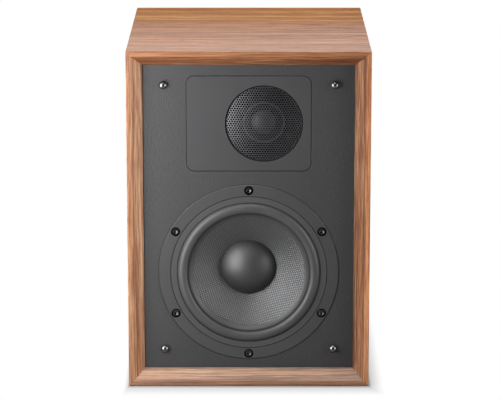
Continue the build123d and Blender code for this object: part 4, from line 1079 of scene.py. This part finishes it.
def dress(finish: Finish, *nodes: str) -> None:
    """Gives CAD nodes a finish.

    Args:
        finish: The finish.
        nodes: Names of the nodes.
    """
    for name in nodes:
        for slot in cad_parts[name].material_slots:
            slot.material = finish.material()
        LOG.info("%s wears %s", name, finish.slot)


def set_aside() -> None:
    """Leaves edit mode and selects nothing."""
    if bpy.context.object is not None and bpy.context.object.mode != "OBJECT":
        bpy.ops.object.mode_set(mode="OBJECT")
    bpy.ops.object.select_all(action="DESELECT")


class Workpiece:
    """A mesh modelled by operators, kept active and in edit mode until it is finished."""

    def __init__(self, name: str, add: Callable[..., object], **sizes: object) -> None:
        """Adds a primitive to shape.

        Args:
            name: Name of the piece.
            add: The operator that adds the primitive.
            sizes: What the operator is given.
        """
        set_aside()
        add(**sizes)
        self.object = bpy.context.object
        self.object.name = name
        bpy.ops.object.mode_set(mode="EDIT")

    @classmethod
    def section(cls, name: str, points: Sequence[Vector], filled: bool) -> "Workpiece":
        """Draws a closed outline by extruding a point from corner to corner.

        Args:
            name: Name of the piece.
            points: Corners of the outline, in order.
            filled: Whether the outline becomes a face, for a part turn with closed ends.

        Returns:
            The outline, selected.
        """
        piece = cls(name, bpy.ops.mesh.primitive_plane_add, size=MM, location=points[0])
        bpy.ops.mesh.merge(type="CENTER")
        for here, there in zip(points, points[1:]):
            bpy.ops.mesh.extrude_region_move(TRANSFORM_OT_translate={"value": there - here})
        bpy.ops.mesh.select_all(action="SELECT")
        bpy.ops.mesh.edge_face_add()
        if not filled:
            bpy.ops.mesh.delete(type="ONLY_FACE")
            bpy.ops.mesh.select_all(action="SELECT")
        return piece

    def pick(self, wanted: Callable[[Vector], bool]) -> "Workpiece":
        """Selects the points whose place passes a test, with the edges and faces between them.

        Args:
            wanted: The test of a point's place.

        Returns:
            This piece.
        """
        bpy.ops.mesh.select_all(action="DESELECT")
        grid = bmesh.from_edit_mesh(self.object.data)
        for point in grid.verts:
            point.select_set(wanted(point.co))
        grid.select_flush_mode()
        bmesh.update_edit_mesh(self.object.data)
        return self

    def repeat(self, step: Vector, count: int) -> "Workpiece":
        """Repeats the whole piece in a row that stays centred on where it was.

        Args:
            step: From one copy to the next.
            count: Number of copies in the row.

        Returns:
            This piece, with the whole row selected.
        """
        self.modify(
            "ARRAY",
            use_relative_offset=False,
            use_constant_offset=True,
            constant_offset_displace=step,
            count=count,
        )
        bpy.ops.mesh.select_all(action="SELECT")
        bpy.ops.transform.translate(value=step * (1 - count) / 2)
        return self

    def weld(self) -> "Workpiece":
        """Merges points that lie on each other and turns the faces outwards.

        Returns:
            This piece, with everything selected.
        """
        bpy.ops.mesh.select_all(action="SELECT")
        bpy.ops.mesh.remove_doubles(threshold=WELD_REACH)
        bpy.ops.mesh.normals_make_consistent(inside=False)
        return self

    def resume(self) -> "Workpiece":
        """Takes this piece up again after another was worked on.

        Returns:
            This piece, in edit mode.
        """
        set_aside()
        self.object.select_set(True)
        bpy.context.view_layer.objects.active = self.object
        bpy.ops.object.mode_set(mode="EDIT")
        return self

    def spin(self, centre: Vector, sweep: float, steps: int) -> "Workpiece":
        """Turns what is selected about the front-to-back axis through a centre."""
        bpy.ops.mesh.spin(steps=steps, angle=sweep, center=centre, axis=TURN_AXIS)
        return self.weld()

    def modify(self, kind: str, **settings: object) -> "Workpiece":
        """Adds a modifier, sets it and applies it.

        Args:
            kind: The modifier's type name.
            settings: Properties of the modifier.

        Returns:
            This piece, in edit mode.
        """
        bpy.ops.object.mode_set(mode="OBJECT")
        bpy.ops.object.modifier_add(type=kind)
        modifier = self.object.modifiers[-1]
        for key, setting in settings.items():
            setattr(modifier, key, setting)
        bpy.ops.object.modifier_apply(modifier=modifier.name)
        bpy.ops.object.mode_set(mode="EDIT")
        return self

    def combine(self, tool: "Workpiece", operation: str) -> "Workpiece":
        """Joins another piece to this one, or cuts this one with it, and removes the other.

        Args:
            tool: The other piece.
            operation: The Boolean modifier's operation.

        Returns:
            This piece, in edit mode.
        """
        self.resume().modify("BOOLEAN", operation=operation, solver="MANIFOLD", object=tool.object)
        bpy.data.objects.remove(tool.object)
        return self

    def finish(self, finish: Finish, smooth: float = 40.0) -> bpy.types.Object:
        """Leaves edit mode, puts the piece's place in its mesh and dresses it.

        Args:
            finish: The finish of the piece.
            smooth: Edges sharper than this angle stay sharp, in degrees.

        Returns:
            The finished object.
        """
        bpy.ops.object.mode_set(mode="OBJECT")
        bpy.ops.object.transform_apply(location=True, rotation=True, scale=True)
        bpy.ops.object.shade_smooth_by_angle(angle=math.radians(smooth))
        self.object.data.materials.clear()
        self.object.data.materials.append(finish.material())
        LOG.info("%s modelled in %s", self.object.name, finish.slot)
        return self.object


def arc(middle: Vector, radius: float, first: float, last: float, steps: int) -> List[Vector]:
    """Points of a circular arc in the plane of radius and height.

    Args:
        middle: Centre of the arc, as radius and height.
        radius: Radius of the arc.
        first: Angle of the first point, in degrees from the radius axis.
        last: Angle of the last point.
        steps: Number of equal steps.

    Returns:
        The points, both ends included.
    """
    points = []
    for step in range(steps + 1):
        angle = math.radians(first + (last - first) * step / steps)
        points.append(middle + Vector((math.cos(angle), math.sin(angle))) * radius)
    return points


def upright(profile: Sequence[Vector], centre: Vector) -> List[Vector]:
    """Stands a turned profile up on the +Z side of its axis.

    Args:
        profile: Points as radius and height towards the front.
        centre: Centre of the axis at height zero.

    Returns:
        The points in the frame.
    """
    return [centre + Vector((0.0, -point.y, point.x)) for point in profile]


@dataclass
class FlexRing:
    """A ring of cloth or rubber between a fixed rim and a moving one.

    The ring is cut into sectors, each a copy of the first turned round the axis.
    """

    node: str
    fixed: str
    moving: str
    finish: Finish
    sectors: int
    steps: int

    def model(self, profile: Sequence[Vector], centre: Vector) -> None:
        """Models one sector and copies it round the axis.

        Args:
            profile: Closed outline of the ring's section, as radius and height.
            centre: Centre of the ring on its axis.
        """
        sweep = 2 * math.pi / self.sectors
        piece = Workpiece.section(f"{self.node}_01", upright(profile, centre), True)
        first = piece.spin(centre, sweep, self.steps).finish(self.finish, smooth=60.0)
        copies = [first]
        for number in range(1, self.sectors):
            copy = first.copy()
            copy.data = first.data.copy()
            copy.name = f"{self.node}_{number + 1:02d}"
            bpy.context.scene.collection.objects.link(copy)
            turn = Matrix.Rotation(sweep * number, 4, Vector(TURN_AXIS))
            copy.data.transform(Matrix.Translation(centre) @ turn @ Matrix.Translation(-centre))
            copies.append(copy)
        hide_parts(self.node)
        for copy in copies:
            points = copy.data.vertices
            middle = sum((point.co for point in points), Vector()) / len(points)
            out = (middle - centre) - FORWARD * (middle - centre).dot(FORWARD)
            out.normalize()
            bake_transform(copy)


def half_roll(
    inner: float,
    width: float,
    lips: Pair,
    thick: float,
    steps: int,
    drop: float = 0.0,
) -> List[Vector]:
    """Section of a half-roll with a lip on each side, its foot at height zero.

    Args:
        inner: Radius at the inner foot of the roll.
        width: Width of the roll.
        lips: Radii of the inner and outer lips' edges.
        thick: Thickness of the sheet.
        steps: Steps in each arc.
        drop: How far the inner lip slopes down to its edge.

    Returns:
        The closed outline, as radius and height.
    """
    middle = Vector((inner + width / 2, thick / 2))
    inside = width / 2 - thick / 2
    outside = width / 2 + thick / 2
    tilt_in = math.degrees(math.asin(thick / 2 / inside))
    tilt_out = math.degrees(math.asin(thick / 2 / outside))
    under = arc(middle, inside, 180 + tilt_in, -tilt_in, steps)
    over = arc(middle, outside, tilt_out, 180 - tilt_out, steps)
    outer_lip = [Vector((lips[1], 0.0)), Vector((lips[1], thick))]
    inner_lip = [Vector((lips[0], thick - drop)), Vector((lips[0], -drop))]
    return [*under, *outer_lip, *over, *inner_lip]


@dataclass
class Cabinet:
    """The walnut wrap, the two boards inside it and what is fixed to them."""

    pad_thick: float = 12.0 * MM
    pad_edge: float = 4.0 * MM
    pad_margin: float = 36.0 * MM
    pad_slack: float = 1.0 * MM
    pad_lumps: float = 22.0 * MM
    pad_cuts: int = 10
    pad_rounds: int = 6

    def build(self) -> None:
        """Models the wadding and dresses the boards and pegs."""
        dress(TOP_WALNUT, "top_panel")
        dress(BOTTOM_WALNUT, "bottom_panel")
        dress(LEFT_WALNUT, "left_panel")
        dress(RIGHT_WALNUT, "right_panel")
        dress(BAFFLE_BLACK, "front_baffle")
        dress(BACK_BLACK, "back_panel")
        dress(RAW_BOARD, "window_brace")
        dress(PEG_CHROME, "grille_pegs")
        self.wadding()

    def wadding(self) -> None:
        """The pads on the side walls and under the top, each in the space of its plain solid."""
        low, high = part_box("damping_pads")
        _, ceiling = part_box("top_panel")
        side_top = ceiling.z - low.z
        spaces = {
            "damping_pad_left": (low, Vector((low.x + self.pad_thick, high.y, side_top))),
            "damping_pad_right": (
                Vector((high.x - self.pad_thick, low.y, low.z)),
                Vector((high.x, high.y, side_top)),
            ),
            "damping_pad_top": (
                Vector((low.x + self.pad_margin, low.y, high.z - self.pad_thick)),
                Vector((high.x - self.pad_margin, high.y, high.z)),
            ),
        }
        pads = [self.pad(name, *corners) for name, corners in spaces.items()]
        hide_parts("damping_pads")
        for piece in pads:
            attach(piece, "cabinet")

    def pad(self, name: str, low: Vector, high: Vector) -> bpy.types.Object:
        """One pad of wadding with soft edges and an uneven face.

        Args:
            name: Name of the pad.
            low: Lowest corner of its space.
            high: Highest corner of its space.

        Returns:
            The finished pad.
        """
        size = high - low - Vector((1.0, 1.0, 1.0)) * self.pad_slack * 2
        piece = Workpiece(
            name, bpy.ops.mesh.primitive_cube_add, size=1.0, location=(low + high) / 2, scale=size
        )
        piece.modify("BEVEL", width=self.pad_edge, segments=3, limit_method="NONE")
        bpy.ops.mesh.select_all(action="SELECT")
        bpy.ops.mesh.subdivide(number_cuts=self.pad_cuts)
        piece.modify("SMOOTH", factor=0.5, iterations=self.pad_rounds)
        lumps = bpy.data.textures.new(f"{name}_lumps", "CLOUDS")
        lumps.noise_scale = self.pad_lumps
        piece.modify(
            "DISPLACE",
            texture=lumps,
            texture_coords="GLOBAL",
            strength=self.pad_slack,
            mid_level=0.5,
        )
        return piece.finish(DAMPING_WOOL, smooth=80.0)


@dataclass
class Woofer:
    """The bass driver: cone, surround, basket and motor."""

    roll_inner: float = 62.0 * MM
    roll_width: float = 10.8 * MM
    cone_mouth: float = 57.0 * MM
    lip_outer: float = 79.6 * MM
    rubber_thick: float = 0.8 * MM
    roll_steps: int = 20
    spider_bore: float = 15.2 * MM
    spider_ledge: float = 5.0 * MM
    spider_thick: float = 0.7 * MM
    spider_rolls: int = 6
    spider_steps: int = 6
    gasket_width: float = 16.3 * MM
    lip_gap: float = 0.06 * MM
    lip_width: float = 0.38 * MM
    lip_sink: float = 0.1 * MM
    edge_steps: int = 8
    ring_steps: int = 128

    def build(self) -> None:
        """Models the surround, the spider and the gasket and dresses the rest."""
        self.surround()
        self.spider()
        self.gasket()
        dress(BASKET_BLACK, "woofer_basket")
        dress(TRIM_BLACK, "woofer_trim_ring")
        dress(DISHED_SCREW, "woofer_screws")
        dress(WOVEN_CONE, "woofer_cone")
        dress(DUST_CAP, "woofer_dust_cap")
        dress(BARE_ALUMINIUM, "woofer_former")
        dress(COPPER_WIRE, "woofer_voice_coil")
        dress(PLATED_STEEL, "woofer_top_plate", "woofer_back_plate")
        dress(FERRITE, "woofer_magnet")
        dress(STRIP_LAMINATE, "woofer_terminal_strip")

    def surround(self) -> None:
        """The rubber half-roll between the cone's rim and the basket's seat."""
        low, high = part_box("woofer_surround")
        centre = (low + high) / 2
        centre.y = low.y + self.roll_width / 2 + self.rubber_thick
        lips = (self.cone_mouth, self.lip_outer)
        drop = high.y - centre.y
        profile = half_roll(
            self.roll_inner, self.roll_width, lips, self.rubber_thick, self.roll_steps, drop
        )
        ring = FlexRing(
            "woofer_surround", "cabinet", "woofer_cone", ROLL_RUBBER, sectors=24, steps=12
        )
        ring.model(profile, centre)

    def spider(self) -> None:
        """The corrugated cloth disc that centres the coil, its rim glued to the basket's ledge."""
        low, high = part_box("woofer_spider")
        centre = (low + high) / 2
        outer = (high.x - low.x) / 2
        rolls_end = outer - self.spider_ledge
        rolls_start = self.spider_bore
        steps = self.spider_rolls * self.spider_steps
        swing = (high.y - low.y - self.spider_thick) / 2
        crests = []
        for step in range(steps + 1):
            share = step / steps
            wave = math.sin(math.pi * self.spider_rolls * share)
            crests.append(Vector((rolls_start + (rolls_end - rolls_start) * share, swing * wave)))
        crests.append(Vector((outer, 0.0)))
        lift = Vector((0.0, self.spider_thick / 2))
        profile = [point - lift for point in crests] + [point + lift for point in reversed(crests)]
        ring = FlexRing(
            "woofer_spider", "cabinet", "woofer_cone", SPIDER_CLOTH, sectors=16, steps=6
        )
        ring.model(profile, centre)

    def gasket(self) -> None:
        """The foam ring that seals the flange, squeezed up into the gap round its rim."""
        low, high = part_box("woofer_gasket")
        centre = (low + high) / 2
        outer = (high.x - low.x) / 2
        half = (high.y - low.y) / 2
        inner = outer - self.gasket_width
        face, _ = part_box("front_baffle")
        rise = centre.y - face.y - self.lip_sink
        lip = outer + self.lip_gap
        profile = [
            Vector((lip, -half)),
            Vector((lip + self.lip_width, -half)),
            Vector((lip + self.lip_width, rise)),
            Vector((lip, rise)),
            Vector((lip, half)),
        ]
        profile += arc(Vector((inner + half, 0.0)), half, 90, 270, self.edge_steps)
        ring = Workpiece.section("woofer_gasket_ring", upright(profile, centre), False)
        piece = ring.spin(centre, 2 * math.pi, self.ring_steps).finish(GASKET_FOAM)
        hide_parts("woofer_gasket")
        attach(piece, "cabinet")


@dataclass
class Tweeter:
    """The treble driver: plate, domed mesh, dome and motor."""

    hole_pitch: float = 2.56 * MM
    hole_radius: float = 1.07 * MM
    hole_corner: float = 0.31 * MM
    sheet_thick: float = 0.4 * MM
    rim_width: float = 1.1 * MM
    rim_thick: float = 0.8 * MM
    rim_edge: float = 0.2 * MM
    crown: float = 4.6 * MM
    flat_rim: float = 1.6 * MM
    round_steps: int = 192
    ball_steps: int = 256
    dome_roll: float = 3.4 * MM
    dome_roll_inner: float = 13.3 * MM
    dome_lips: Pair = (12.1 * MM, 19.1 * MM)
    dome_sheet: float = 0.4 * MM
    dome_steps: int = 10

    def build(self) -> None:
        """Models the mesh and the dome's surround and dresses the rest."""
        self.mesh()
        self.surround()
        dress(TWEETER_PLATE, "tweeter_plate")
        dress(DOME_TEXTILE, "tweeter_dome")
        dress(COPPER_WIRE, "tweeter_voice_coil")
        dress(PLATED_STEEL, "tweeter_back_plate")
        dress(BLACKENED_STEEL, "tweeter_front_plate", "tweeter_screws")
        dress(FERRITE, "tweeter_magnet")
        dress(MOULDED_BLACK, "tweeter_rear_chamber")
        dress(STRIP_LAMINATE, "tweeter_terminal_strip")

    def perforated_sheet(self) -> Workpiece:
        """A flat sheet of round holes in rows half a step apart, larger than the mesh.

        Returns:
            The sheet, flat in X and Y about the origin.
        """
        corner = self.hole_pitch / math.sqrt(3)
        hole = corner * self.hole_radius / (self.hole_pitch / 2)
        sheet = Workpiece(
            "tweeter_mesh_sheet",
            bpy.ops.mesh.primitive_circle_add,
            vertices=6,
            radius=corner,
            fill_type="NGON",
        )
        bpy.ops.mesh.inset(thickness=self.hole_pitch / 2 - self.hole_radius)
        bpy.ops.mesh.delete(type="FACE")
        sheet.pick(lambda place: place.length < (hole + corner) / 2)
        bpy.ops.mesh.bevel(offset=self.hole_corner, affect="VERTICES", clamp_overlap=False)
        bpy.ops.mesh.select_all(action="SELECT")
        half_step = Vector((self.hole_pitch / 2, corner * 1.5, 0.0))
        bpy.ops.mesh.duplicate_move(TRANSFORM_OT_translate={"value": half_step})
        reach = self.mesh_radius() + self.hole_pitch
        for step in (Vector((self.hole_pitch, 0.0, 0.0)), Vector((0.0, corner * 3, 0.0))):
            sheet.repeat(step, 2 * math.ceil(reach / step.length) + 1)
        return sheet.weld()

    def mesh_radius(self) -> float:
        """Outer radius of the mesh, from its place in the frame."""
        low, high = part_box("tweeter_mesh")
        return (high.x - low.x) / 2

    def mesh(self) -> None:
        """The domed mesh: a holed sheet pressed over a ball, cut round and set in a plain rim."""
        low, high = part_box("tweeter_mesh")
        radius = self.mesh_radius()
        spread = radius - self.flat_rim
        ball_radius = (spread ** 2 + self.crown ** 2) / (2 * self.crown)
        sheet = self.perforated_sheet()
        sheet.pick(lambda place: place.length > radius + self.hole_pitch / 2)
        bpy.ops.mesh.delete(type="VERT")
        ball = Workpiece(
            "mesh_former",
            bpy.ops.mesh.primitive_uv_sphere_add,
            segments=self.ball_steps,
            ring_count=self.ball_steps // 2,
            radius=ball_radius,
            location=(0.0, 0.0, self.crown - ball_radius),
        )
        sheet.resume().modify(
            "SHRINKWRAP",
            wrap_method="PROJECT",
            use_project_z=True,
            use_negative_direction=True,
            use_positive_direction=True,
            target=ball.object,
        )
        sheet.modify("SOLIDIFY", thickness=self.sheet_thick, offset=1.0)
        bpy.data.objects.remove(ball.object)
        trim = Workpiece(
            "mesh_trim",
            bpy.ops.mesh.primitive_cylinder_add,
            vertices=self.round_steps,
            radius=radius - self.rim_width / 2,
            depth=radius,
        )
        sheet.combine(trim, "INTERSECT")
        sheet.combine(self.mesh_rim(radius), "UNION")
        sheet.object.rotation_euler = (math.radians(90), 0.0, 0.0)
        sheet.object.location = ((low.x + high.x) / 2, high.y, (low.z + high.z) / 2)
        piece = sheet.finish(MESH_BLACK, smooth=35.0)
        piece.name = "tweeter_mesh_domed"
        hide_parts("tweeter_mesh")
        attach(piece, "cabinet")

    def mesh_rim(self, radius: float) -> Workpiece:
        """The plain pressed rim of the mesh, with rounded edges.

        Args:
            radius: Outer radius of the rim.

        Returns:
            The rim, flat in X and Y about the origin.
        """
        rim = Workpiece(
            "mesh_rim",
            bpy.ops.mesh.primitive_circle_add,
            vertices=self.round_steps,
            radius=radius,
            fill_type="NGON",
        )
        bpy.ops.mesh.inset(thickness=self.rim_width)
        bpy.ops.mesh.delete(type="FACE")
        rim.modify("SOLIDIFY", thickness=self.rim_thick, offset=1.0)
        return rim.weld().modify("BEVEL", width=self.rim_edge, segments=2, limit_method="ANGLE")

    def surround(self) -> None:
        """The cloth half-roll between the dome and the plate's throat."""
        low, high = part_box("tweeter_surround")
        centre = (low + high) / 2
        centre.y = high.y
        profile = half_roll(
            self.dome_roll_inner, self.dome_roll, self.dome_lips, self.dome_sheet, self.dome_steps
        )
        ring = FlexRing(
            "tweeter_surround", "cabinet", "tweeter_dome", DOME_RUBBER, sectors=12, steps=8
        )
        ring.model(profile, centre)


@dataclass
class Rear:
    """Ports, terminal cup and binding posts."""

    def build(self) -> None:
        """Dresses what is on the back."""
        dress(MOULDED_BLACK, "port_left", "port_right", "terminal_cup")
        dress(BLACK_SCREW, "terminal_screws")
        dress(GOLD_PLATE, "post_studs", "post_nuts", "jumper_links")
        dress(POST_RED, "post_collars_red")
        dress(POST_BLACK, "post_collars_black")
        for row in ("lower", "upper"):
            for column, finish in (("left", POST_BLACK), ("right", POST_RED)):
                dress(GOLD_PLATE, f"post_washer_{row}_{column}")
                dress(finish, f"post_knob_{row}_{column}")


@dataclass
class Crossover:
    """The board inside the box with its parts and leads."""

    def build(self) -> None:
        """Dresses the board and its parts."""
        dress(BOARD_LAMINATE, "crossover_board")
        dress(NYLON, "crossover_standoffs", "inductor_bobbins")
        dress(COPPER_WIRE, "inductor_windings")
        dress(CAPACITOR_FILM, "capacitors")
        dress(RESISTOR_CEMENT, "resistors")
        dress(LEAD_SLEEVE, "input_leads", "woofer_leads", "tweeter_leads")


@dataclass(frozen=True)
class Lamp:
    """A rectangular softbox that faces a point on the object."""

    name: str
    place: Triple
    target: Triple
    size: Pair
    power: float

    def build(self) -> None:
        """Adds the softbox, hidden from the camera."""
        light = bpy.data.lights.new(self.name, "AREA")
        light.shape = "RECTANGLE"
        light.size, light.size_y = self.size
        light.energy = self.power
        lamp = bpy.data.objects.new(self.name, light)
        lamp.location = self.place
        aim = Vector(self.target) - Vector(self.place)
        lamp.rotation_euler = aim.to_track_quat("-Z", "Y").to_euler()
        lamp.visible_camera = False
        bpy.context.scene.collection.objects.link(lamp)


FRONT_TARGET = (0.0, -0.12, 0.17)


@dataclass
class Studio:
    """Floor, light and camera."""

    floor_size: float = 14.0
    floor_colour: Colour = (0.30, 0.30, 0.30, 1.0)
    # Painted shadow: floor_lift, contact_lift and the reaches set how white lifts away from the
    # box.
    floor_lift: float = 0.50
    contact_lift: float = 0.0
    contact_reach: float = 0.008
    shadow_reach: float = 0.035
    side_falloff: Pair = (6.0, 2.0)
    bright_sides: Pair = (0.20, 0.60)
    floor_gloss: float = 0.5
    gloss_share: float = 0.05
    sky: float = 0.12
    room: float = 0.01
    backdrop: Pair = (-0.3, 0.5)
    camera_place: Triple = (1.3 * MM, -2.654, 0.799)
    camera_tilt: float = 13.45
    lens: float = 184.2
    lamps: Tuple[Lamp, ...] = (
        Lamp("key_softbox", (-0.314, -0.395, 0.26), FRONT_TARGET, (0.26, 0.46), power=3.7),
        Lamp("side_softbox", (0.673, -0.313, 0.27), FRONT_TARGET, (0.42, 0.52), power=4.3),
        Lamp("top_softbox", (0.0, -0.15, 1.15), FRONT_TARGET, (0.60, 0.60), power=4.2),
        Lamp("front_softbox", (0.0, -0.60, 1.10), FRONT_TARGET, (0.60, 0.60), power=2.6),
        Lamp("back_panel", (0.0, 0.25, 0.66), (0.0, -0.50, 0.66), (0.60, 0.34), power=2.2),
        Lamp("rear_softbox", (0.12, 0.95, 0.175), (0.0, 0.137, 0.175), (0.60, 0.33), power=2.6),
    )

    def build(self) -> None:
        """Sets the stage round the object."""
        self.floor()
        self.world()
        for lamp in self.lamps:
            lamp.build()
        self.camera()
        bpy.context.scene.view_settings.view_transform = "Standard"

    @staticmethod
    def seen(graph: Graph) -> Value:
        """One for rays that show the background: from the camera, or through gloss or glass."""
        return graph.ray("Camera").over(graph.ray("Glossy")).over(graph.ray("Transmission"))

    def floor(self) -> None:
        """A grey floor, white away from the box, with painted and real shadow near it."""
        piece = Workpiece("floor", bpy.ops.mesh.primitive_plane_add, size=self.floor_size)
        bpy.ops.object.mode_set(mode="OBJECT")
        material = bpy.data.materials.new("floor_paper")
        material.use_nodes = True
        graph = Graph(material.node_tree)
        paper = graph.node("ShaderNodeBsdfDiffuse", inputs={"Color": self.floor_colour})
        white = graph.node("ShaderNodeEmission", inputs={"Strength": 1.0})
        x, y, _ = graph.parts(graph.node("ShaderNodeTexCoord", output="Object"))
        low, high = CAD_BOX
        left, right = self.side_falloff
        # Painted shadow: white falls off towards the box, further out on the right than the left.
        beside = ((low.x - x) * left).over((x - high.x) * right)
        aside = beside.over((y - high.y).over(low.y - y))
        near = aside.ease(0.0, self.contact_reach) * (self.floor_lift - self.contact_lift)
        far = aside.ease(0.0, self.shadow_reach) * (1 - self.floor_lift)
        lift = near + far + self.contact_lift
        # Painted reflection: to gloss rays the floor glows white only from bright_sides outwards.
        sides = x.over(0 - x).ease(*self.bright_sides)
        shown = graph.ray("Camera").over(self.seen(graph) * sides * self.floor_gloss)
        mixed = graph.node("ShaderNodeMixShader", inputs={0: shown * lift, 1: paper, 2: white})
        graph.node("ShaderNodeOutputMaterial", inputs={"Surface": mixed})
        piece.object.data.materials.append(material)

    def world(self) -> None:
        """White behind the object, a dimmer room in front, and soft light from all round."""
        world = bpy.data.worlds.new("studio")
        world.use_nodes = True
        bpy.context.scene.world = world
        graph = Graph(world.node_tree)
        _, towards_back, _ = graph.parts(graph.node("ShaderNodeTexCoord", output="Generated"))
        backdrop = towards_back.ease(*self.backdrop)
        level = backdrop * (self.sky - self.room) + self.room
        soft = graph.node("ShaderNodeBackground", inputs={"Strength": level})
        white = graph.node("ShaderNodeBackground", inputs={"Color": (1.0, 1.0, 1.0, 1.0)})
        shown = graph.ray("Camera").over(self.seen(graph) * backdrop * self.gloss_share)
        mixed = graph.node("ShaderNodeMixShader", inputs={0: shown, 1: soft, 2: white})
        graph.node("ShaderNodeOutputWorld", inputs={"Surface": mixed})

    def camera(self) -> None:
        """A long lens a little above the speaker, tilted down to it."""
        data = bpy.data.cameras.new("camera")
        data.lens = self.lens
        camera = bpy.data.objects.new("camera", data)
        camera.location = self.camera_place
        camera.rotation_euler = (math.radians(90 - self.camera_tilt), 0.0, 0.0)
        bpy.context.scene.collection.objects.link(camera)
        bpy.context.scene.camera = camera


def main() -> None:
    """Builds the sub-assemblies in order, then the studio."""
    logging.basicConfig(level=logging.INFO, format="%(name)s: %(message)s")
    for part in (Cabinet(), Woofer(), Tweeter(), Rear(), Crossover(), Studio()):
        part.build()


if __name__ == "__main__":
    main()
